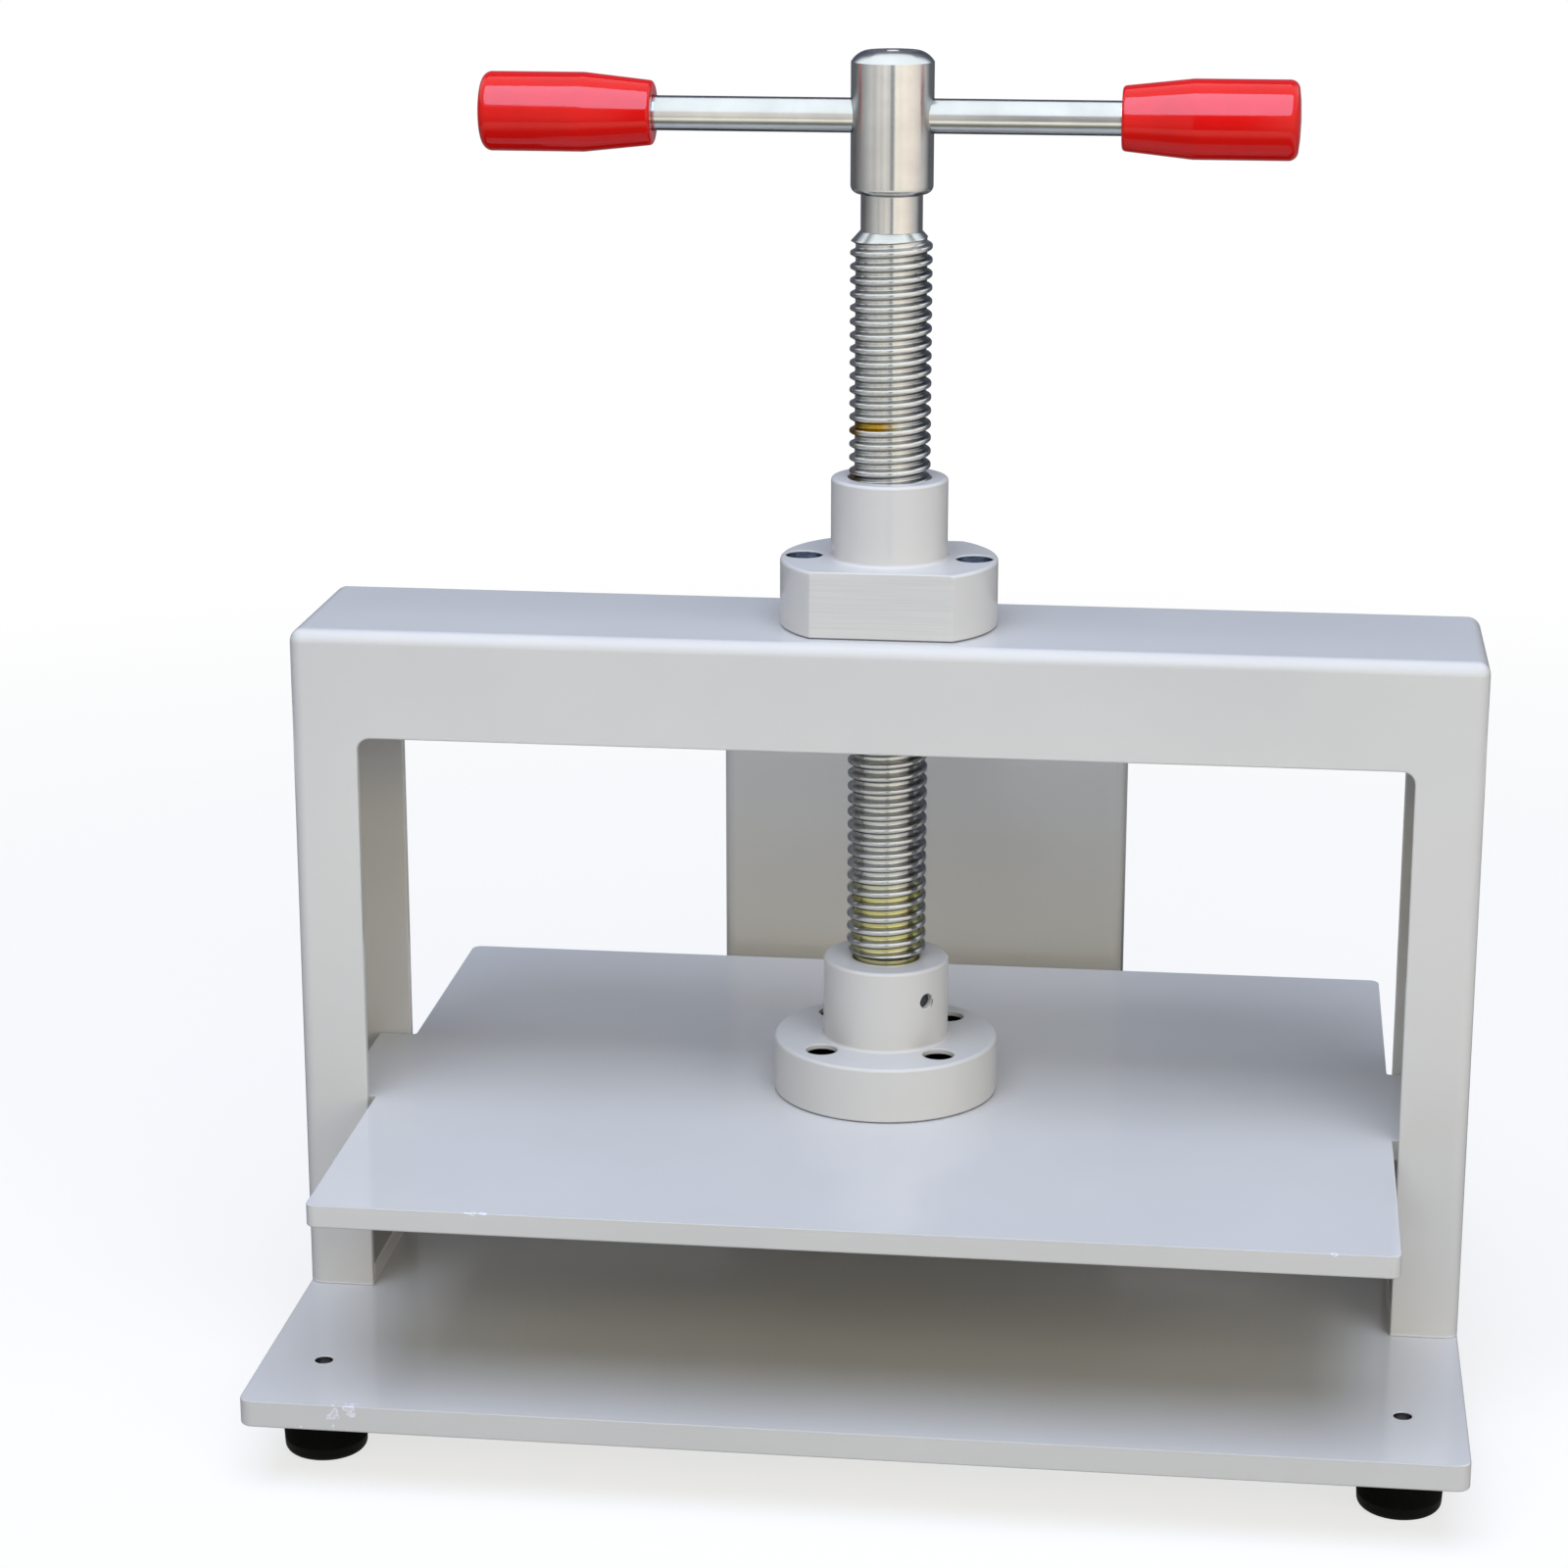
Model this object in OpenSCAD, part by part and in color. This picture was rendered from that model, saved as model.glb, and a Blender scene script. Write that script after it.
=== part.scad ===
// Bench copying press: folded steel portal, guided platen, press screw and bar handle.
// Millimetres, +Z up, +Y to the back. The origin is on the floor under the middle of the base plate.
// The thread is a true right-hand helix. It and the nut share one pitch, which also sets the lift per turn.

/* [Base] */
// Width of the base plate and of the portal over it
base_w = 350; // [320:1:400]
// Depth of the base plate
base_d = 276; // [260:1:320]
// Thickness of the base plate
base_t = 8; // [7:0.5:12]
// Corner radius of the base plate
base_r = 4; // [2:0.5:10]
// From the front edge of the base plate to the screw axis
base_front = 118.5; // [112:0.5:124]

/* [Feet] */
// Diameter of a foot where it meets the base plate
foot_d = 26; // [24:0.5:32]
// Diameter of a foot at the floor
foot_low_d = 24; // [20:0.5:24]
// Height of a foot
foot_h = 19.5; // [16:0.5:25]
// From the side edge of the base plate to a foot's axis
foot_in_x = 18; // [16:0.5:30]
// From the front or back edge of the base plate to a foot's axis
foot_in_y = 31; // [20:0.5:45]

/* [Portal] */
// Depth of the portal's channel
frame_d = 64; // [58:1:72]
// Height of the portal over the base plate
frame_h = 207; // [195:1:230]
// Height of the beam's front and back flanges
beam_h = 32.4; // [26:0.2:40]
// Width of the flanges of an upright
post_w = 20; // [18:0.5:26]
// Thickness of the portal's sheet
sheet = 3; // [2:0.25:4]
// Outside radius of the folds
bend_r = 4; // [4:0.25:6]
// Corner radius of the window in the flanges
window_r = 4; // [3:0.5:8]

/* [Platen] */
// How far the platen's front edge lies behind that of the base plate
platen_in = 0; // [0:0.5:20]
// Gap between the platen's back edge and the back stop
stop_gap = 7; // [4:0.5:15]
// Thickness of the platen
platen_t = 6.7; // [5:0.1:10]
// Corner radius of the platen
platen_r = 3; // [1:0.5:6]
// Gap between the platen's side edge and an upright
platen_gap = 1.75; // [1:0.25:3]
// How far a guide ear reaches into the upright's channel, from the platen's side edge
ear_reach = 11.75; // [8:0.25:13]
// Gap between a guide ear and the channel's flanges
ear_gap = 0.5; // [0.4:0.1:1]
// Free height between the base plate and the platen, as it stands
opening = 54.5; // [30:0.5:70]

/* [Collar] */
// Diameter of the collar's flange
collar_d = 68; // [66:0.5:76]
// Height of the collar's flange
collar_flange_h = 17; // [14:0.5:20]
// Diameter of the collar's boss
collar_boss_d = 38; // [34:0.5:40]
// Height of the boss over the flange
collar_boss_h = 25; // [22:0.5:30]
// Pitch circle of the collar's four screws
collar_pcd = 50; // [50:0.5:54]
// Height of the set screw over the platen
set_screw_h = 32; // [28:0.5:34]
// Direction of the set screw, from the front towards the right
set_screw_turn = 46; // [0:1:90]

/* [Nut] */
// Diameter of the nut's flange
nut_d = 64.5; // [64:0.5:68]
// Height of the nut's flange
nut_flange_h = 20; // [16:0.5:24]
// Distance across the two flats of the flange
nut_flats = 49; // [44:0.5:56]
// Diameter of the nut's boss
nut_boss_d = 34.5; // [32:0.5:36]
// Height of the boss over the flange
nut_boss_h = 24; // [18:0.5:30]
// From the screw axis to a nut screw
nut_screw_x = 25.3; // [25:0.1:26]

/* [Press screw] */
// Outside diameter of the thread
thread_d = 24; // [22:0.5:26]
// Pitch of the thread, one start
pitch = 4; // [3:0.5:5]
// Depth of the thread
thread_depth = 2.1; // [1.5:0.1:2.2]
// Length of the thread with its two run-outs
thread_len = 219; // [208:1:226]
// Diameter of the neck under the hub
neck_d = 18; // [16:0.5:19]
// Length of the neck
neck_h = 10.6; // [6:0.2:14]
// Diameter of the hub
hub_d = 24; // [22:0.5:28]
// Height of the hub
hub_h = 40.5; // [34:0.5:46]
// Radius of the crowned rim on top of the hub
hub_crown_r = 6.6; // [4:0.2:8]
// Diameter of the journal that turns in the collar
journal_d = 19.6; // [18:0.1:19.6]
// Plain length between the collar and the thread
thread_gap = 1; // [0.5:0.5:4]

/* [Handle] */
// Diameter of the handle bar
bar_d = 10; // [8:0.5:12]
// From the bar's axis up to the top of the hub
bar_down = 18.4; // [16:0.2:22]
// Length of the handle over both grips
handle_w = 236; // [200:1:280]
// How far the handle stands to the right of the screw axis
handle_x = -1.8; // [-5:0.1:5]
// Length of a grip
grip_len = 50.5; // [44:0.5:60]
// Largest diameter of a grip
grip_d = 22.8; // [20:0.2:26]
// Diameter of a grip at its inner end
grip_end_d = 18.4; // [16:0.2:20]

/* [Back stop] */
// Width of the back stop
stop_w = 134.7; // [120:0.1:180]
// Height of the back stop over the base plate
stop_h = 150; // [120:1:165]
// Depth of its folded sides
stop_d = 29; // [24:0.5:30]
// Gap between its sides and the back edge of the base plate
stop_in = 1; // [0.5:0.5:4]

/* [Fits] */
// Radial clearance of the journal in the collar
run_gap = 0.08; // [0.05:0.01:0.1]
// Radial clearance of the thread in the nut
thread_gap_r = 0.3; // [0.3:0.05:0.5]
// Radial clearance of fixed pins and screw shanks in their holes
fit_gap = 0.05; // [0.02:0.01:0.1]
// Radial clearance of screw heads and washers in their counterbores
head_gap = 0.5; // [0.3:0.05:0.6]

/* [Hidden] */
$fn = 64;
eps = 1;
paint = "#c9c9c8";
steel = "#c4c2bc";
zinc = "#a9abad";
rubber = "#161616";
red = "#c8102e";
bronze = "#b08d57";

// levels and places that follow from the sizes above
screw_y = base_front - base_d / 2;
base_top = foot_h + base_t;
beam_top = base_top + frame_h;
window_w = base_w - 2 * post_w;
window_h = frame_h - beam_h;
channel_d = frame_d - 2 * sheet;
channel_x = base_w / 2 - sheet;
platen_low = base_top + opening;
platen_top = platen_low + platen_t;
collar_h = collar_flange_h + collar_boss_h;
collar_top = platen_top + collar_h;
platen_w = window_w - 2 * platen_gap;
foot_x = base_w / 2 - foot_in_x;
foot_y = base_d / 2 - foot_in_y;
stop_back = base_d / 2 - stop_in;
stop_front = stop_back - stop_d;
platen_front = platen_in - base_d / 2;
platen_d = stop_front - stop_gap - platen_front;

// fasteners: shank, head diameter and head height
m4_d = 4;
set_screw_d = 4.5;
m5_d = 5;
m5_head_d = 8.5;
m5_head_h = 5;
m6_d = 6;
m6_head_d = 10;
m6_low_h = 5;
m6_head_h = 6;
socket_depth = 2.5;
m5_socket_d = 4;
m6_socket_d = 5;

// feet
foot_round = 2;
foot_bore_h = 10;
washer_d = 12;
washer_t = 1.2;
foot_screw_tip = 2;

// upright feet and the bar under the beam
upright_foot_h = 6;
upright_foot_w = channel_x - window_w / 2;
upright_foot_x = channel_x - upright_foot_w / 2;
frame_screw_y = 16;
stiffener_w = 90;
stiffener_d = channel_d - 2;
stiffener_h = 8;

// collar and journal
edge = 0.6;
fillet = 1;
collar_floor = 6;
thrust_h = 2;
counterbore_floor = 5;
nut_floor = 8;
dog_d = 2.6;
dog_gap = 0.4;
groove_depth = 2;
groove_w = dog_d + 2 * dog_gap;
screw_z = platen_top + collar_floor + thrust_h;
journal_h = collar_top + thread_gap - screw_z;
groove_z = platen_top + set_screw_h - screw_z;
set_screw_len = collar_boss_d / 2 - journal_d / 2 - run_gap - 2;
dog_len = run_gap + groove_depth - dog_gap;

// thread
thread_seg = 16;
thread_n = round(thread_seg * (thread_len / pitch - 1));
thread_fade = thread_seg;
thread_root_r = thread_d / 2 - thread_depth;
crest_part = 0.15;
root_part = 0.22;
flank_part = (1 - crest_part - root_part) / 2;
thread_rise = [0, root_part, root_part + flank_part, root_part + flank_part + crest_part];
thread_z = screw_z + journal_h;
neck_z = thread_z + thread_len;
hub_z = neck_z + neck_h;
hub_top = hub_z + hub_h;
bar_z = hub_top - bar_down;
hub_low_r = (hub_d - neck_d) / 2;
hub_crown = [60, 45, 30, 15];
grub_len = 8;

// handle
bar_len = handle_w - 2 * 7;
grip_bore = grip_len - 7;
grip_taper = 0.4;
grip_dome = 0.9;
grip_r = 3;

// back stop
stop_screw_x = 40;
stop_screw_len = 9;

module rounded_plate(w, d, h, r) {
    translate([-w / 2 + r, -d / 2, 0])
        cube([w - 2 * r, d, h]);
    translate([-w / 2, -d / 2 + r, 0])
        cube([w, d - 2 * r, h]);
    for (x = [-1, 1], y = [-1, 1])
        translate([x * (w / 2 - r), y * (d / 2 - r), 0])
            cylinder(r = r, h = h);
}

// A round flange with a boss on it, eased at the top edges and filleted where the two meet.
module flanged_boss(flange_d, flange_h, boss_d, h) {
    rotate_extrude()
        polygon([
            [0, 0],
            [flange_d / 2, 0],
            [flange_d / 2, flange_h - edge],
            [flange_d / 2 - edge, flange_h],
            [boss_d / 2 + fillet, flange_h],
            [boss_d / 2 + fillet * 0.5, flange_h + fillet * 0.134],
            [boss_d / 2 + fillet * 0.134, flange_h + fillet * 0.5],
            [boss_d / 2, flange_h + fillet],
            [boss_d / 2, h - edge],
            [boss_d / 2 - edge, h],
            [0, h]
        ]);
}

module at_feet() {
    for (x = [-1, 1], y = [-1, 1])
        translate([x * foot_x, y * foot_y, 0])
            children();
}

module at_frame_screws() {
    for (x = [-1, 1], y = [-1, 1])
        translate([x * upright_foot_x, screw_y + y * frame_screw_y, 0])
            children();
}

module at_stop_screws() {
    for (x = [-1, 1])
        translate([x * stop_screw_x, stop_back - (stop_d - sheet) / 2, base_top])
            children();
}

module at_nut_screws() {
    for (x = [-1, 1])
        translate([x * nut_screw_x, screw_y, beam_top])
            children();
}

module at_collar_screws() {
    for (a = [45 : 90 : 315])
        translate([cos(a) * collar_pcd / 2, screw_y + sin(a) * collar_pcd / 2, platen_top])
            children();
}

module at_set_screw() {
    translate([0, screw_y, platen_top + set_screw_h])
        rotate([0, 0, set_screw_turn - 90])
            rotate([0, 90, 0])
                children();
}

module base_plate() {
    color(paint)
    difference() {
        translate([0, 0, foot_h])
            rounded_plate(base_w, base_d, base_t, base_r);
        at_feet()
            translate([0, 0, foot_h - eps])
                cylinder(d = m5_d + 2 * fit_gap, h = base_t + 2 * eps);
        at_frame_screws()
            translate([0, 0, foot_h - eps])
                cylinder(d = m6_d + 2 * fit_gap, h = base_t + 2 * eps);
        at_frame_screws()
            translate([0, 0, foot_h - eps])
                cylinder(d = m6_head_d + 2 * head_gap, h = m6_low_h + eps);
        at_stop_screws()
            translate([0, 0, -base_t - eps])
                cylinder(d = m5_d + 2 * fit_gap, h = base_t + 2 * eps);
    }
}

module rubber_foot(x, y) {
    color(rubber)
    translate([x * foot_x, y * foot_y, 0])
        difference() {
            rotate_extrude()
                polygon([
                    [0, 0],
                    [foot_low_d / 2 - foot_round, 0],
                    [foot_low_d / 2 - foot_round * 0.5, foot_round * 0.134],
                    [foot_low_d / 2 - foot_round * 0.134, foot_round * 0.5],
                    [foot_low_d / 2, foot_round],
                    [foot_d / 2, foot_h],
                    [0, foot_h]
                ]);
            translate([0, 0, -eps])
                cylinder(d = washer_d + 2 * head_gap, h = foot_bore_h + eps);
            translate([0, 0, foot_bore_h - eps])
                cylinder(d = m5_d + 2 * fit_gap, h = foot_h - foot_bore_h + 2 * eps);
        }
}

module rubber_foot_front_left() {
    rubber_foot(-1, -1);
}

module rubber_foot_front_right() {
    rubber_foot(1, -1);
}

module rubber_foot_rear_left() {
    rubber_foot(-1, 1);
}

module rubber_foot_rear_right() {
    rubber_foot(1, 1);
}

module foot_washers() {
    color(zinc)
    at_feet()
        translate([0, 0, foot_bore_h - washer_t])
            difference() {
                cylinder(d = washer_d, h = washer_t);
                translate([0, 0, -eps])
                    cylinder(d = m5_d + 2 * fit_gap, h = washer_t + 2 * eps);
            }
}

// A cap screw with its shank along +Z from the underside of the head at z = 0.
module cap_screw(d, head_d, head_h, socket_d, len) {
    difference() {
        union() {
            translate([0, 0, -head_h])
                cylinder(d = head_d, h = head_h);
            cylinder(d = d, h = len);
        }
        translate([0, 0, -head_h - eps])
            cylinder(d = socket_d, h = socket_depth + eps, $fn = 6);
    }
}

module foot_screws() {
    color(zinc)
    at_feet()
        translate([0, 0, foot_bore_h - washer_t])
            cap_screw(m5_d, m5_head_d, m5_head_h, m5_socket_d, base_top - foot_screw_tip - foot_bore_h + washer_t);
}

module bent_block(w, d, h, r) {
    translate([-w / 2 + r, -d / 2 + r, 0])
        cube([w - 2 * r, d - 2 * r, h]);
    translate([-w / 2, -d / 2 + r, 0])
        cube([w, d - 2 * r, h - r]);
    translate([-w / 2 + r, -d / 2, 0])
        cube([w - 2 * r, d, h - r]);
    for (x = [-1, 1], y = [-1, 1])
        translate([x * (w / 2 - r), y * (d / 2 - r), 0]) {
            cylinder(r = r, h = h - r);
            translate([0, 0, h - r])
                sphere(r = r);
        }
    for (y = [-1, 1])
        translate([-w / 2 + r, y * (d / 2 - r), h - r])
            rotate([0, 90, 0])
                cylinder(r = r, h = w - 2 * r);
    for (x = [-1, 1])
        translate([x * (w / 2 - r), d / 2 - r, h - r])
            rotate([90, 0, 0])
                cylinder(r = r, h = d - 2 * r);
}

module window_cut() {
    translate([-window_w / 2, -frame_d / 2 - eps, -eps])
        cube([window_w, frame_d + 2 * eps, window_h - window_r + eps]);
    translate([-window_w / 2 + window_r, -frame_d / 2 - eps, -eps])
        cube([window_w - 2 * window_r, frame_d + 2 * eps, window_h + eps]);
    for (x = [-1, 1])
        translate([x * (window_w / 2 - window_r), frame_d / 2 + eps, window_h - window_r])
            rotate([90, 0, 0])
                cylinder(r = window_r, h = frame_d + 2 * eps);
}

module gantry_frame() {
    color(paint)
    difference() {
        translate([0, screw_y, base_top])
            difference() {
                bent_block(base_w, frame_d, frame_h, bend_r);
                translate([-channel_x, -channel_d / 2, -eps])
                    cube([2 * channel_x, channel_d, frame_h - sheet + eps]);
                window_cut();
                translate([0, 0, frame_h - sheet - eps])
                    cylinder(r = thread_d / 2 + 2 * thread_gap_r, h = sheet + 2 * eps);
            }
        at_nut_screws()
            translate([0, 0, -sheet - eps])
                cylinder(d = m6_d + 2 * fit_gap, h = sheet + 2 * eps);
    }
}

module upright_foot(x) {
    color(paint)
    difference() {
        translate([x * upright_foot_x - upright_foot_w / 2, screw_y - channel_d / 2, base_top])
            cube([upright_foot_w, channel_d, upright_foot_h]);
        at_frame_screws()
            translate([0, 0, base_top - eps])
                cylinder(d = m6_d + 2 * fit_gap, h = upright_foot_h + 2 * eps);
    }
}

module upright_foot_left() {
    upright_foot(-1);
}

module upright_foot_right() {
    upright_foot(1);
}

module frame_screws() {
    color(zinc)
    at_frame_screws()
        translate([0, 0, foot_h + m6_low_h])
            cap_screw(m6_d, m6_head_d, m6_low_h, m6_socket_d, base_t - m6_low_h + upright_foot_h - 1);
}

module beam_stiffener() {
    color(paint)
    difference() {
        translate([-stiffener_w / 2, screw_y - stiffener_d / 2, beam_top - sheet - stiffener_h])
            cube([stiffener_w, stiffener_d, stiffener_h]);
        translate([0, screw_y, beam_top - sheet - stiffener_h - eps])
            cylinder(r = thread_d / 2 + 2 * thread_gap_r, h = stiffener_h + 2 * eps);
        at_nut_screws()
            translate([0, 0, -sheet - stiffener_h - eps])
                cylinder(d = m6_d + 2 * fit_gap, h = stiffener_h + 2 * eps);
    }
}

module screw_nut() {
    color(paint)
    difference() {
        translate([0, screw_y, beam_top])
            difference() {
                flanged_boss(nut_d, nut_flange_h, nut_boss_d, nut_flange_h + nut_boss_h);
                for (y = [-1, 1])
                    translate([-nut_d, y * (nut_flats + nut_d) / 2 - nut_d / 2, -eps])
                        cube([2 * nut_d, nut_d, nut_flange_h + 2 * eps]);
                translate([0, 0, -eps])
                    cylinder(r = thread_d / 2 + thread_gap_r, h = nut_flange_h + nut_boss_h + 2 * eps);
            }
        at_nut_screws() {
            translate([0, 0, -eps])
                cylinder(d = m6_d + 2 * fit_gap, h = nut_flange_h + 2 * eps);
            translate([0, 0, nut_floor])
                cylinder(d = m6_head_d + 2 * head_gap, h = nut_flange_h - nut_floor + eps);
        }
    }
}

module nut_screws() {
    color(zinc)
    at_nut_screws()
        translate([0, 0, nut_floor])
            rotate([180, 0, 0])
                cap_screw(m6_d, m6_head_d, m6_head_h, m6_socket_d, nut_floor + sheet + stiffener_h);
}

module back_stop() {
    color(paint)
    difference() {
        translate([0, stop_front, base_top])
            difference() {
                union() {
                    translate([-stop_w / 2 + bend_r, 0, 0])
                        cube([stop_w - 2 * bend_r, stop_d, stop_h]);
                    translate([-stop_w / 2, bend_r, 0])
                        cube([stop_w, stop_d - bend_r, stop_h]);
                    for (x = [-1, 1])
                        translate([x * (stop_w / 2 - bend_r), bend_r, 0])
                            cylinder(r = bend_r, h = stop_h);
                }
                translate([-stop_w / 2 + sheet, sheet, sheet])
                    cube([stop_w - 2 * sheet, stop_d, stop_h]);
            }
        at_stop_screws()
            translate([0, 0, -eps])
                cylinder(d = m5_d + 2 * fit_gap, h = sheet + 2 * eps);
    }
}

module back_stop_screws() {
    color(zinc)
    at_stop_screws()
        translate([0, 0, sheet])
            rotate([180, 0, 0])
                cap_screw(m5_d, m5_head_d, m5_head_h, m5_socket_d, stop_screw_len);
}

module platen() {
    color(paint)
    difference() {
        union() {
            translate([0, platen_front + platen_d / 2, platen_low])
                rounded_plate(platen_w, platen_d, platen_t, platen_r);
            translate([-platen_w / 2 - ear_reach, screw_y - channel_d / 2 + ear_gap, platen_low])
                cube([platen_w + 2 * ear_reach, channel_d - 2 * ear_gap, platen_t]);
        }
        at_collar_screws()
            translate([0, 0, -platen_t - eps])
                cylinder(d = m5_d + 2 * fit_gap, h = platen_t + 2 * eps);
    }
}

module platen_collar() {
    color(paint)
    difference() {
        translate([0, screw_y, platen_top])
            difference() {
                flanged_boss(collar_d, collar_flange_h, collar_boss_d, collar_h);
                translate([0, 0, collar_floor])
                    cylinder(r = journal_d / 2 + run_gap, h = collar_h);
                translate([0, 0, collar_h - edge])
                    cylinder(r1 = journal_d / 2 + run_gap, r2 = journal_d / 2 + run_gap + 2 * edge, h = 2 * edge);
            }
        at_collar_screws() {
            translate([0, 0, -eps])
                cylinder(d = m5_d + 2 * fit_gap, h = collar_flange_h + 2 * eps);
            translate([0, 0, counterbore_floor])
                cylinder(d = m5_head_d + 2 * head_gap, h = collar_flange_h - counterbore_floor + eps);
        }
        at_set_screw()
            cylinder(d = set_screw_d + 2 * fit_gap, h = collar_boss_d / 2 + eps);
    }
}

module collar_screws() {
    color(zinc)
    at_collar_screws()
        translate([0, 0, counterbore_floor])
            rotate([180, 0, 0])
                cap_screw(m5_d, m5_head_d, m5_head_h, m5_socket_d, counterbore_floor + platen_t - 0.5);
}

module collar_set_screw() {
    color(zinc)
    at_set_screw()
        translate([0, 0, journal_d / 2 + run_gap]) {
            cylinder(d = set_screw_d, h = set_screw_len);
            translate([0, 0, -dog_len])
                cylinder(d = dog_d, h = dog_len + eps);
        }
}

module thrust_washer() {
    color(bronze)
    translate([0, screw_y, platen_top + collar_floor])
        cylinder(r = journal_d / 2, h = thrust_h);
}

function thread_point(i, j) =
    let (
        fade = min(1, i / thread_fade, (thread_n - i) / thread_fade),
        r = thread_root_r + (j > 1 ? thread_depth * fade : 0),
        a = 360 * i / thread_seg
    )
    [r * cos(a), r * sin(a), pitch * (i / thread_seg + thread_rise[j])];

// The thread is one closed surface: four helical lines a turn, joined by strips and closed on the axis.
module thread() {
    n = thread_n;
    s = thread_seg;
    low = 4 * (n + 1);
    points = concat(
        [for (i = [0 : n], j = [0 : 3]) thread_point(i, j)],
        [[0, 0, 0], [0, 0, pitch * (n / s + 1)]]
    );
    strips = [
        for (i = [0 : n - 1], j = [0 : 2], t = [0, 1])
            t == 0 ? [4 * i + j, 4 * i + j + 1, 4 * i + j + 5] : [4 * i + j, 4 * i + j + 5, 4 * i + j + 4]
    ];
    joins = [
        for (i = [0 : n - s - 1], t = [0, 1])
            t == 0 ? [4 * i + 3, 4 * (i + s), 4 * (i + s + 1)] : [4 * i + 3, 4 * (i + s + 1), 4 * i + 7]
    ];
    low_loop = concat([for (i = [0 : s]) 4 * i], [3, 2, 1]);
    top_loop = concat([for (i = [n - s : n]) 4 * i + 3], [4 * n + 2, 4 * n + 1, 4 * n]);
    low_cap = [
        for (k = [0 : len(low_loop) - 1])
            [low_loop[k], low_loop[(k + 1) % len(low_loop)], low]
    ];
    top_cap = [
        for (k = [0 : len(top_loop) - 1])
            [top_loop[(k + 1) % len(top_loop)], top_loop[k], low + 1]
    ];
    polyhedron(points, concat(strips, joins, low_cap, top_cap));
}

module press_screw() {
    color(steel)
    translate([0, screw_y, 0])
        difference() {
            union() {
                translate([0, 0, screw_z])
                    rotate_extrude()
                        polygon([
                            [0, 0],
                            [journal_d / 2, 0],
                            [journal_d / 2, groove_z - groove_w / 2],
                            [journal_d / 2 - groove_depth, groove_z - groove_w / 2],
                            [journal_d / 2 - groove_depth, groove_z + groove_w / 2],
                            [journal_d / 2, groove_z + groove_w / 2],
                            [journal_d / 2, journal_h + pitch + eps],
                            [0, journal_h + pitch + eps]
                        ]);
                translate([0, 0, thread_z])
                    thread();
                translate([0, 0, neck_z - pitch - eps])
                    cylinder(d = neck_d, h = neck_h + pitch + 2 * eps);
                translate([0, 0, hub_z])
                    rotate_extrude()
                        polygon([
                            [0, 0],
                            [hub_d / 2 - hub_low_r, 0],
                            [hub_d / 2 - hub_low_r * 0.5, hub_low_r * 0.134],
                            [hub_d / 2 - hub_low_r * 0.134, hub_low_r * 0.5],
                            [hub_d / 2, hub_low_r],
                            for (slope = hub_crown)
                                [
                                    hub_d / 2 - hub_crown_r * (sin(hub_crown[0]) - sin(slope)),
                                    hub_h - hub_crown_r * (cos(hub_crown[3]) - cos(slope))
                                ],
                            [0, hub_h]
                        ]);
            }
            translate([-hub_d, 0, bar_z])
                rotate([0, 90, 0])
                    cylinder(d = bar_d + 2 * fit_gap, h = 2 * hub_d);
            translate([0, 0, bar_z])
                cylinder(d = m4_d + 2 * fit_gap, h = bar_down + eps);
        }
}

module handle_bar() {
    color(steel)
    translate([handle_x - bar_len / 2, screw_y, bar_z])
        rotate([0, 90, 0])
            cylinder(d = bar_d, h = bar_len);
}

module bar_grub_screw() {
    color(zinc)
    translate([0, screw_y, bar_z + bar_d / 2])
        cylinder(d = m4_d, h = grub_len);
}

// A grip along +Z, with its narrow inner end at z = 0.
module grip(x) {
    color(red)
    translate([handle_x + x * (handle_w / 2 - grip_len), screw_y, bar_z])
        rotate([0, x * 90, 0])
            difference() {
                rotate_extrude()
                    polygon([
                        [0, 0],
                        [grip_end_d / 2 - 1, 0],
                        [grip_end_d / 2, 1],
                        [grip_d / 2, grip_len * grip_taper],
                        [grip_d / 2, grip_len - grip_dome - grip_r],
                        [grip_d / 2 - grip_r * 0.134, grip_len - grip_dome - grip_r * 0.5],
                        [grip_d / 2 - grip_r * 0.5, grip_len - grip_dome - grip_r * 0.134],
                        [grip_d / 2 - grip_r, grip_len - grip_dome],
                        [grip_d / 4, grip_len - grip_dome * 0.25],
                        [0, grip_len]
                    ]);
                translate([0, 0, -eps])
                    cylinder(d = bar_d + 2 * fit_gap, h = grip_bore + eps);
            }
}

module grip_left() {
    grip(-1);
}

module grip_right() {
    grip(1);
}

base_plate();
rubber_foot_front_left();
rubber_foot_front_right();
rubber_foot_rear_left();
rubber_foot_rear_right();
foot_screws();
foot_washers();
gantry_frame();
upright_foot_left();
upright_foot_right();
frame_screws();
beam_stiffener();
screw_nut();
nut_screws();
back_stop();
back_stop_screws();
platen();
platen_collar();
collar_screws();
collar_set_screw();
thrust_washer();
press_screw();
handle_bar();
bar_grub_screw();
grip_left();
grip_right();
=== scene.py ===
import math

import bmesh
import bpy
import numpy as np
from bpy.props import FloatProperty, FloatVectorProperty, PointerProperty
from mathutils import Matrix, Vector
from mathutils.geometry import tessellate_polygon


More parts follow.
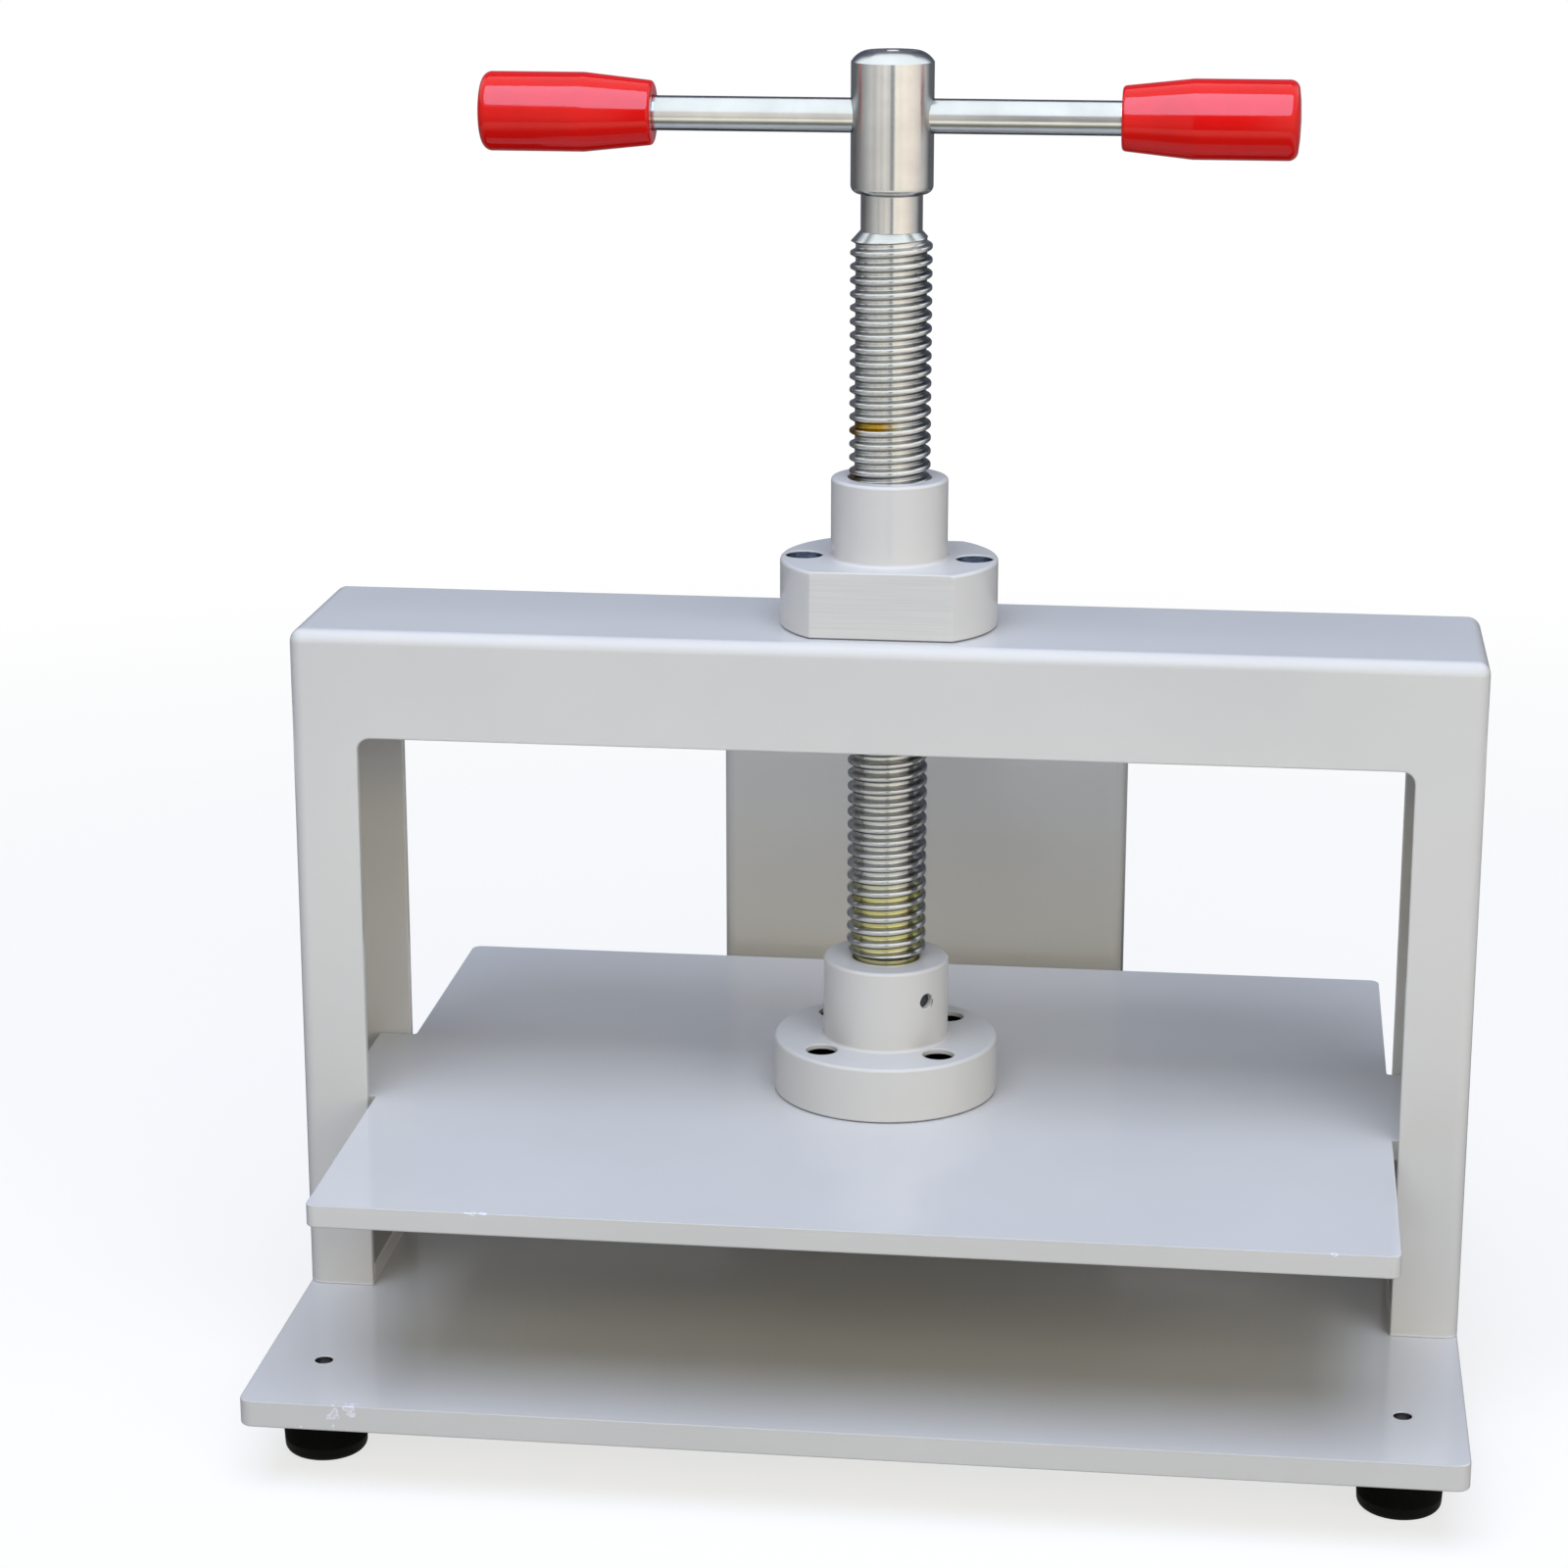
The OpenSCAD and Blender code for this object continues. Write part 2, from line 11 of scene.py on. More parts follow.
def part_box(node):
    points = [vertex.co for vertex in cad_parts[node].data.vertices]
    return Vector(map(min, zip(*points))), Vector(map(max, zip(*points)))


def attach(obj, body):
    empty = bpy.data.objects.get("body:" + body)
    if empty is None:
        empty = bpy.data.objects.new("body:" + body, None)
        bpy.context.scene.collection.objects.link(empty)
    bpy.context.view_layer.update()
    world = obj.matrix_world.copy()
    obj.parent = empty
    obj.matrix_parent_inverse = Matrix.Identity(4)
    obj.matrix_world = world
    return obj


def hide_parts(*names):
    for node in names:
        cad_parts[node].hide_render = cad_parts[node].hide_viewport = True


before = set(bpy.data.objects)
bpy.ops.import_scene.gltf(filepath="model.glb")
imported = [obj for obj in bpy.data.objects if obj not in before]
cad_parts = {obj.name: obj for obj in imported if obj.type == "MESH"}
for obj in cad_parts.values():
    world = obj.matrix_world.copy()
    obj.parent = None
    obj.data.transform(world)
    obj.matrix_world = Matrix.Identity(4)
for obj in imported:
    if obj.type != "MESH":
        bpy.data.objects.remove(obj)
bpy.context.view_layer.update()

bl_info = {
    "name": "Copying press",
    "version": (1, 0, 0),
    "blender": (4, 5, 0),
    "location": "View3D > Sidebar > Press",
    "description": "Dresses the solids of a bench copying press and sets up its studio",
    "category": "Object",
}

MM = 0.001
SHARP = math.radians(35)  # an edge sharper than this keeps its crease
CLOSE = 1e-7  # points nearer than this, in metres, are one point
FEET = ("front_left", "front_right", "rear_left", "rear_right")


def linear(text):
    """An sRGB hex colour as linear RGBA."""
    c = np.array([int(text[i:i + 2], 16) for i in (0, 2, 4)]) / 255
    c = np.where(c <= 0.04045, c / 12.92, ((c + 0.055) / 1.055) ** 2.4)
    return (*c.tolist(), 1.0)


def corners(node):
    """The lowest and highest corner of a CAD node as arrays."""
    lo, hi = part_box(node)
    return np.array(lo), np.array(hi)


def middle(node):
    """The middle of a CAD node's box."""
    return np.mean(corners(node), axis=0)


def pair(node):
    """The axes of two like screws side by side: each is half the depth of their common box in from an end of it."""
    lo, hi = corners(node)
    r = (hi[1] - lo[1]) / 2
    return [(x, lo[1] + r) for x in (lo[0] + r, hi[0] - r)]


def length(name, description, default):
    """A length property with a default in millimetres."""
    return FloatProperty(name=name, description=description, default=default * MM, unit="LENGTH", precision=5)


def colour(name, description, default):
    """A colour property with an sRGB hex default."""
    return FloatVectorProperty(
        name=name, description=description, default=linear(default), subtype="COLOR", size=4, min=0, max=1
    )


class PressSizes(bpy.types.PropertyGroup):
    """Sizes of the dressed press that the boxes of the solids don't give."""

    paint_edge: length("Painted edge", "Radius that the coat of paint gives to a sheared edge", 0.45)
    turned_edge: length("Turned edge", "Bevel on the edges of the painted nut and collar", 0.35)
    plate_corner: length("Base corner", "Corner radius of the base plate", 4)
    platen_corner: length("Platen corner", "Corner radius of the platen", 3)
    platen_width: length("Platen width", "Width of the platen without its guide ears", 306.5)
    ear_depth: length("Ear depth", "Front to back size of a guide ear", 57)
    sheet: length("Sheet", "Thickness of the folded sheet", 3)
    bend: length("Bend", "Outside radius of the folds", 4)
    hole_radius: length("Screw hole", "Radius of the holes for 5 mm screws", 2.55)
    head_radius: length("Counterbore", "Radius of the counterbores under the base plate", 5.5)
    pitch: length("Pitch", "Rise of the thread in one turn", 4)
    thread_radius: length("Thread radius", "Outside radius of the thread", 12)
    thread_depth: length("Thread depth", "Depth of the thread as wear has left it", 1.6)
    thread_length: length("Thread length", "Length of the thread with its run-outs", 219)
    thread_low: length("Thread start", "Height of the thread's lower end over the floor", 131.7)
    journal_radius: length("Journal", "Radius of the journal in the collar", 9.8)
    neck_radius: length("Neck", "Radius of the neck under the hub", 9)
    hub_height: length("Hub height", "Height of the hub", 40.5)
    hub_crown: length("Hub crown", "Radius of the crowned rim on top of the hub", 6.6)
    grub_hole: length("Grub hole", "Radius of the hole in the top of the hub", 2.05)
    grip_end: length("Grip end", "Radius of a grip at its inner end", 9.2)
    foot_low: length("Foot at the floor", "Radius of a foot at the floor", 12)
    foot_bore: length("Foot bore", "Radius of the bore in a foot", 6.5)
    foot_bore_depth: length("Foot bore depth", "Depth of the bore in a foot", 10)


class PressColours(bpy.types.PropertyGroup):
    """Colours of the press and its studio."""

    paint: colour("Powder coat", "Light grey of the painted steel", "c9c7c3")
    # Painted shade: the back stop's coat is a darker, warmer copy of the paint for its shade under the beam.
    stop_paint_shaded: colour("Back stop", "Older, yellower coat of the back stop", "c0bcb2")
    # The same pale colour paints a highlight along the foot of the portal.
    chip_and_highlight: colour("Chipped paint", "Bare primer where the paint has chipped", "e4e5ee")
    # Painted shade: a darker grey on the rolled edges of the plates tones down the light along them.
    shaded: colour("Edge shade", "Darker grey where the paint is thin on the edges of the plates", "aeaca9")
    # Painted shade in the screw holes of the base plate, drawn as dull metal.
    base_bore_shade: colour("Base bores", "Dull metal in the screw holes of the base plate", "6a6a70")
    nut_bore: colour("Nut bores", "Clean metal in the counterbores of the nut", "e2e9f6")
    # Painted shade in the counterbores of the collar, drawn as nearly black metal.
    collar_bore_shade: colour("Collar bores", "Oily metal in the counterbores of the collar", "1c1d20")
    steel: colour("Bright steel", "Turned steel of the screw and the bar", "c9cac8")
    grime: colour("Thread grime", "Oily dirt in the roots of the thread", "77786f")
    # Painted shade in the seams under the nut and the collar, and on the downward flanks of the lower thread.
    seam: colour("Seam shade", "Dark dirt in the seam under the nut and the collar", "4d4e58")
    oil: colour("Dried oil", "Golden dried oil in one root of the thread", "b4973a")
    wax: colour("Yellow wax", "Waxy residue in the lowest roots", "c2bb62")
    rust: colour("Rust", "Brown residue above the nut", "8a5a2c")
    zinc: colour("Zinc", "Plating on the small screws", "a3a6a8")
    # A dark grey of oil and painted shade: on the collar's screws deep in their holes, and on the thread's right
    # flanks.
    oil_and_shade: colour("Oiled zinc", "Oily screws in the collar", "54565a")
    bronze: colour("Bronze", "Thrust washer", "a97f4a")
    red: colour("Red plastic", "Moulded grips", "d30803")
    rubber: colour("Rubber", "Feet", "070807")
    floor: colour("Floor", "Floor of the studio", "f8f5ee")
    bounce: colour("Floor bounce", "Grey of the floor in the light that it throws back", "bcbcbc")


def rounded(points, radii, steps=6):
    """A closed outline with round corners: in place of each corner comes the arc of the given radius that touches
    both of its sides. A radius of 0 keeps the corner as it is."""
    p = np.asarray(points, float)
    r = np.broadcast_to(np.asarray(radii, float), len(p))
    back = np.roll(p, 1, axis=0) - p
    ahead = np.roll(p, -1, axis=0) - p
    back /= np.linalg.norm(back, axis=1, keepdims=True)
    ahead /= np.linalg.norm(ahead, axis=1, keepdims=True)
    half = 0.5 * np.arccos(np.clip((back * ahead).sum(axis=1), -1, 1))
    way = back + ahead
    way /= np.linalg.norm(way, axis=1, keepdims=True)
    centre = p + way * (r / np.sin(half))[:, None]
    start = (p + back * (r / np.tan(half))[:, None] - centre)[:, None]
    end = (p + ahead * (r / np.tan(half))[:, None] - centre)[:, None]
    sweep = (math.pi - 2 * half)[:, None, None]
    t = np.linspace(0, 1, steps + 1)[None, :, None]
    arc = (np.sin((1 - t) * sweep) * start + np.sin(t * sweep) * end) / np.sin(sweep)
    return (centre[:, None] + arc).reshape(-1, 2)


def circle(centre, radius, steps=40):
    """A closed round outline."""
    a = np.linspace(0, 2 * math.pi, steps, endpoint=False)
    return np.column_stack([centre[0] + radius * np.cos(a), centre[1] + radius * np.sin(a)])


def inset(ring, by):
    """An outline moved inwards: each point moves along the common normal of its two sides, further at corners, so that
    every side moves by the same amount."""
    side = np.roll(ring, -1, axis=0) - ring
    side /= np.linalg.norm(side, axis=1, keepdims=True)
    out = np.column_stack([side[:, 1], -side[:, 0]])
    before = np.roll(out, 1, axis=0)
    return ring - by * (out + before) / (1 + (out * before).sum(axis=1, keepdims=True))


def grid(points):
    """Quads between neighbours in an array of rows of points, where each row closes on itself."""
    rows, columns = points.shape[:2]
    k = np.arange(rows * columns).reshape(rows, columns)
    k = np.column_stack([k, k[:, 0]])
    faces = np.stack([k[:-1, :-1], k[:-1, 1:], k[1:, 1:], k[1:, :-1]], axis=-1)
    return points.reshape(-1, 3), faces.reshape(-1, 4)


def wall(ring, path):
    """An edge profile carried round an outline: each (inset, height) of the path gives one ring of points."""
    return grid(np.stack([np.column_stack([inset(ring, d), np.full(len(ring), z)]) for d, z in path]))


def cap(rings, z):
    """A flat face at one height between an outline and the holes in it."""
    loops = [np.column_stack([ring, np.full(len(ring), z)]) for ring in rings]
    faces = tessellate_polygon([loop.tolist() for loop in loops])
    return np.concatenate(loops), np.array(faces)


def plate(outline, low, high, edge, holes=(), pits=()):
    """A flat plate: a profile of two quarter rounds and the straight between them is carried round the outline and
    round each hole, and flat faces close it. A pit is a hole from below that ends at its own height."""
    a = np.linspace(0, math.pi / 2, 6)
    roll, rise = edge * (1 - np.cos(a)), edge * np.sin(a)
    below = np.column_stack([roll, low + edge - rise])[::-1]
    above = np.column_stack([roll, high - edge + rise])
    path = np.concatenate([below, above])
    patches = [wall(outline, path)]
    patches += [wall(hole, path * (-1, 1)) for hole in holes]
    rims = [inset(outline, edge)] + [inset(hole, -edge) for hole in holes]
    patches.append(cap(rims, high))
    for ring, floor in pits:
        patches.append(wall(ring, np.concatenate([below * (-1, 1), [[0, floor]]])))
        patches.append(cap([ring], floor))
        rims.append(inset(ring, -edge))
    patches.append(cap(rims, low))
    return patches


def turned(profile, centre, axis="Z", steps=96):
    """A profile of (radius, height) turned round the Z or the X axis through a point."""
    r, h = np.asarray(profile, float).T
    a = np.linspace(0, 2 * math.pi, steps, endpoint=False)
    points = np.stack(
        [r[:, None] * np.cos(a), r[:, None] * np.sin(a), np.broadcast_to(h[:, None], (len(r), steps))], axis=-1
    )
    if axis == "X":
        points = points[..., [2, 0, 1]]
    return grid(points + np.asarray(centre))


def helical_thread(centre, low, size, per_turn=48, across=22):
    """A right-hand thread: a worn, rounded tooth profile across one pitch is carried along a helix. The radius is the
    root's plus the tooth's height, and a cone cuts it at each end, where the surface closes on the axis in a disc."""
    # The middle of the tooth, its half width and the width of its flank are parts of a pitch.
    crest, reach, flank = 0.61, 0.33, 0.17
    crispness = 5
    lower_cone, upper_cone = 1.3, 0.9
    turns = size.thread_length / size.pitch
    turn = np.linspace(-2, turns + 1, round(per_turn * (turns + 3)) + 1)[:, None]
    t = np.linspace(0, 1, across + 1)[None, :]
    away = np.minimum(np.abs(t - crest), np.abs(t - crest + 1))
    ramp = (reach - away) / flank
    tooth = (np.logaddexp(0, crispness * ramp) - np.logaddexp(0, crispness * (ramp - 1))) / crispness
    foot = tooth[0, 0]
    r = size.thread_radius - size.thread_depth * (1 - np.clip((tooth - foot) / (1 - foot), 0, 1))
    height = size.pitch * (turn + t)
    inside = np.clip(height, 0, size.thread_length)
    past = np.abs(height - inside)
    r = np.minimum(r, size.journal_radius + lower_cone * inside)
    r = np.minimum(r, size.neck_radius + upper_cone * (size.thread_length - inside))
    r = np.where(past > 0, r * np.clip(1 - past / size.pitch, 0, 1), r)
    a = 2 * math.pi * turn
    points = np.stack([centre[0] + r * np.cos(a), centre[1] + r * np.sin(a), low + inside], axis=-1)
    k = np.arange(r.size).reshape(r.shape)
    flanks = np.stack([k[:-1, :-1], k[:-1, 1:], k[1:, 1:], k[1:, :-1]], axis=-1)
    return points.reshape(-1, 3), flanks.reshape(-1, 4)


def shade_smooth(mesh):
    """Smooth shading that breaks at sharp edges."""
    mesh.polygons.foreach_set("use_smooth", np.ones(len(mesh.polygons), bool))
    mesh.set_sharp_from_angle(angle=SHARP)


def put(name, mesh, finish, body, nodes):
    """Puts a mesh in the scene as a piece with a finish, on a body and in place of CAD nodes."""
    mesh.materials.clear()
    mesh.materials.append(finish)
    obj = bpy.data.objects.new(name, mesh)
    bpy.context.scene.collection.objects.link(obj)
    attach(obj, body)
    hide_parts(*nodes)
    return obj


def weigh_normals(obj):
    """Lets large faces decide the normals at their edges, so that rolled edges blend into the flats beside them."""
    modifier = obj.modifiers.new("weighted_normals", "WEIGHTED_NORMAL")
    modifier.keep_sharp = True
    return obj


def piece(name, patches, finish, body, slot, *nodes):
    """Joins patches of points and faces into one mesh, closes its seams and poles and turns its faces outwards."""
    points, faces, start = [], [], 0
    for patch_points, patch_faces in patches:
        points.append(patch_points)
        faces += (patch_faces + start).tolist()
        start += len(patch_points)
    mesh = bpy.data.meshes.new(name)
    mesh.from_pydata(np.concatenate(points).tolist(), [], faces)
    bm = bmesh.new()
    bm.from_mesh(mesh)
    bmesh.ops.remove_doubles(bm, verts=bm.verts, dist=CLOSE)
    bmesh.ops.dissolve_degenerate(bm, edges=bm.edges, dist=CLOSE)
    bmesh.ops.delete(bm, geom=[v for v in bm.verts if not v.link_faces], context="VERTS")
    bmesh.ops.recalc_face_normals(bm, faces=bm.faces)
    bm.to_mesh(mesh)
    bm.free()
    shade_smooth(mesh)
    return put(name, mesh, finish, body, nodes)


def coated(node, finish, body, edge):
    """A merged copy of a CAD node, whose sharp edges a bevel rounds as a coat of paint does."""
    loose, level = 1e-6, math.radians(0.5)
    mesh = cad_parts[node].data.copy()
    mesh.name = node + "_coat"
    bm = bmesh.new()
    bm.from_mesh(mesh)
    bmesh.ops.remove_doubles(bm, verts=bm.verts, dist=loose)
    bmesh.ops.dissolve_limit(bm, angle_limit=level, verts=bm.verts, edges=bm.edges)
    bm.to_mesh(mesh)
    bm.free()
    shade_smooth(mesh)
    obj = put(node + "_coat", mesh, finish, body, [node])
    bevel = obj.modifiers.new("paint_edge", "BEVEL")
    bevel.width = edge
    bevel.segments = 3
    bevel.limit_method = "ANGLE"
    bevel.angle_limit = SHARP
    bevel.use_clamp_overlap = False
    return weigh_normals(obj)


def add(tree, kind, sockets=None, **settings):
    """Adds one shader node: the settings are its own, and each socket, by name or number, takes a value or a link. In a
    MapRange 1 and 2 are the range of the value, and 3 and 4 what it becomes, 0 and 1 if not given. In a colour Mix 0 is
    the mask, and 6 and 7 are the colours without and with it."""
    made = tree.nodes.new("ShaderNode" + kind)
    for key, value in settings.items():
        setattr(made, key, value)
    for key, value in (sockets or {}).items():
        if isinstance(value, bpy.types.NodeSocket):
            tree.links.new(value, made.inputs[key])
        else:
            made.inputs[key].default_value = value
    return made


def blank(name):
    """An empty material and its node tree."""
    made = bpy.data.materials.new(name)
    made.use_nodes = True
    made.node_tree.nodes.clear()
    return made, made.node_tree


def mottled(tree, place, tint, width, detail, dark, light, high=0.7):
    """A tint that is made darker and lighter by a noise of the given width, and the noise itself."""
    noise = add(tree, "TexNoise", {"Vector": place, "Scale": 1 / width, "Detail": detail}).outputs["Fac"]
    shade = add(tree, "MapRange", {"Value": noise, 1: 0.3, 2: high, 3: dark, 4: light})
    tint = add(tree, "VectorMath", {0: tuple(tint)[:3], "Scale": shade.outputs[0]}, operation="SCALE")
    return tint.outputs[0], noise


def beyond(tree, place, centre, half):
    """How far a point lies outside a box about a centre, along each axis: its distance from the centre less half the
    size of the box."""
    off = add(tree, "VectorMath", {0: place, 1: tuple(centre)}, operation="SUBTRACT")
    off = add(tree, "VectorMath", {0: off.outputs[0]}, operation="ABSOLUTE")
    return add(tree, "VectorMath", {0: off.outputs[0], 1: tuple(half)}, operation="SUBTRACT").outputs[0]


def bored(tree, place, centre, spread, radius, top):
    """A mask of upright bores at plus and minus the spread from the centre: 1 where the distance from the nearest axis
    is less than the radius, below the top."""
    blur, fade = 0.1 * MM, 0.3 * MM
    off = beyond(tree, place, (*centre[:2], 0), (*spread, 0))
    off = add(tree, "VectorMath", {0: off, 1: (1, 1, 0)}, operation="MULTIPLY")
    gap = add(tree, "VectorMath", {0: off.outputs[0]}, operation="LENGTH").outputs["Value"]
    near = add(tree, "MapRange", {"Value": gap, 1: radius + blur, 2: radius - blur})
    height = add(tree, "SeparateXYZ", {0: place}).outputs["Z"]
    below = add(tree, "MapRange", {"Value": height, 1: top, 2: top - fade})
    return add(tree, "Math", {0: near.outputs[0], 1: below.outputs[0]}, operation="MULTIPLY").outputs[0]


def powder_coat(name, tint, node=None, knocks=(), bore=None, seam=None, milled=None):
    """Powder-coated steel, baked to a gloss: an even light grey that mirrors faintly, with a fine orange peel and
    handling marks that dull it a little. On a plate that is knocked in use, painted shade darkens the rolled edges and
    tones down the light along them, there are pale chips along the upper edges, and a knock at each given point and
    size. Bores were machined after painting and show uncoated metal of the given tint; a dark tint there is painted
    shade in the bore. Along a foot, a line of the given tint is painted shade in the seam when the tint is dark, and a
    bead of paint with a painted highlight on it when the tint is pale. The marks of the cutter show through the paint
    where a side was milled flat."""
    colours = bpy.context.scene.press_colours
    made, tree = blank(name)
    place = add(tree, "TexCoord").outputs["Object"]
    base, _ = mottled(tree, place, tint, 70 * MM, 3.0, 0.97, 1.02)
    flaws = []
    if node:
        lo, hi = corners(node)
        border = np.array([1.5, 1.5, 1.0]) * MM
        off = add(tree, "SeparateXYZ", {0: beyond(tree, place, (lo + hi) / 2, (hi - lo) / 2 - border)})
        out = add(tree, "Math", {0: off.outputs["X"], 1: off.outputs["Y"]}, operation="MAXIMUM").outputs[0]
        rim = add(tree, "MapRange", {"Value": out, 1: -1 * MM, 2: 1 * MM})
        # Painted shade: the rolled edges are darkened, which tones down the light along them.
        edge = add(tree, "MapRange", {"Value": out, 1: 0.9 * MM, 2: 1.2 * MM})
        over = add(tree, "MapRange", {"Value": off.outputs["Z"], 1: 0.4 * MM, 2: 0.7 * MM, 3: 0.0, 4: 0.6})
        shaded = add(tree, "Math", {0: edge.outputs[0], 1: over.outputs[0]}, operation="MULTIPLY")
        flaws.append((shaded.outputs[0], colours.shaded))
        chips = add(tree, "TexNoise", {"Vector": place, "Scale": 1 / (11 * MM), "Detail": 4.0, "Roughness": 0.6})
        chips = add(tree, "MapRange", {"Value": chips.outputs["Fac"], 1: 0.71, 2: 0.74})
        worn = add(tree, "Math", {0: rim.outputs[0], 1: chips.outputs[0]}, operation="MULTIPLY")
        flaws.append((worn.outputs[0], colours.chip_and_highlight))
    if knocks:
        ragged = add(tree, "TexNoise", {"Vector": place, "Scale": 1 / (1.6 * MM), "Detail": 3.0})
        tear = add(tree, "MapRange", {"Value": ragged.outputs["Fac"], 1: 0.35, 2: 0.65, 3: -0.5, 4: 0.9})
    for point, size in knocks:
        off = add(tree, "VectorMath", {0: place, 1: point}, operation="SUBTRACT")
        off = add(tree, "VectorMath", {0: off.outputs[0], 1: size}, operation="DIVIDE")
        gap = add(tree, "VectorMath", {0: off.outputs[0]}, operation="LENGTH").outputs["Value"]
        gap = add(tree, "Math", {0: gap, 1: tear.outputs[0]}, operation="ADD").outputs[0]
        hit = add(tree, "MapRange", {"Value": gap, 1: 1.1, 2: 0.8, 3: 0.0, 4: 0.8})
        heart = add(tree, "MapRange", {"Value": gap, 1: 0.6, 2: 0.3, 3: 0.0, 4: 0.55})
        hit = add(tree, "Math", {0: hit.outputs[0], 1: heart.outputs[0]}, operation="SUBTRACT")
        flaws.append((hit.outputs[0], colours.chip_and_highlight))
    if milled:
        axis, flat = milled
        long, close = 40 * MM, 0.6 * MM
        fine = add(tree, "VectorMath", {0: place, 1: (1 / long, 1 / long, 1 / close)}, operation="MULTIPLY")
        lines = add(tree, "TexNoise", {"Vector": fine.outputs[0], "Scale": 1.0, "Detail": 2.0})
        across = add(tree, "SeparateXYZ", {0: place}).outputs["Y"]
        across = add(tree, "Math", {0: across, 1: axis}, operation="SUBTRACT")
        across = add(tree, "Math", {0: across.outputs[0]}, operation="ABSOLUTE")
        side = add(tree, "MapRange", {"Value": across.outputs[0], 1: flat - 0.2 * MM, 2: flat - 0.1 * MM})
        marks = add(tree, "MapRange", {"Value": lines.outputs["Fac"], 1: 0.45, 2: 0.75, 3: 0.0, 4: 0.13})
        marks = add(tree, "Math", {0: marks.outputs[0], 1: side.outputs[0]}, operation="MULTIPLY")
        flaws.append((marks.outputs[0], colours.grime))
    if seam:
        # A line along the foot: painted shade in a seam with a dark tint, a painted highlight with a pale one.
        foot, reach, most, line_tint = seam
        height = add(tree, "SeparateXYZ", {0: place}).outputs["Z"]
        line = add(tree, "MapRange", {"Value": height, 1: foot + reach, 2: foot + 0.5 * reach, 3: 0.0, 4: most})
        flaws.append((line.outputs[0], line_tint))
    if bore:
        # A dark tint on the bore walls is painted shade.
        *where, metal = bore
        bore_wall = bored(tree, place, *where)
        flaws.append((bore_wall, metal))
    for mask, shown in flaws:
        base = add(tree, "Mix", {0: mask, 6: base, 7: tuple(shown)}, data_type="RGBA").outputs[2]
    marks = add(tree, "TexNoise", {"Vector": place, "Scale": 1 / (22 * MM), "Detail": 5.0, "Roughness": 0.6})
    rough = add(tree, "MapRange", {"Value": marks.outputs["Fac"], 1: 0.3, 2: 0.7, 3: 0.1, 4: 0.14})
    # The peel of the real coat is about 0.8 mm wide, and is drawn twice as coarse so that it shows.
    peel = add(tree, "TexNoise", {"Vector": place, "Scale": 1 / (1.6 * MM), "Detail": 2.0})
    bump = add(tree, "Bump", {"Strength": 0.03, "Distance": 0.15 * MM, "Height": peel.outputs["Fac"]})
    shader = add(
        tree, "BsdfPrincipled",
        {"Base Color": base, "Roughness": rough.outputs[0], "IOR": 1.5, "Normal": bump.outputs[0]},
    )
    if bore:
        tree.links.new(bore_wall, shader.inputs["Metallic"])
    add(tree, "OutputMaterial", {"Surface": shader.outputs[0]})
    return made


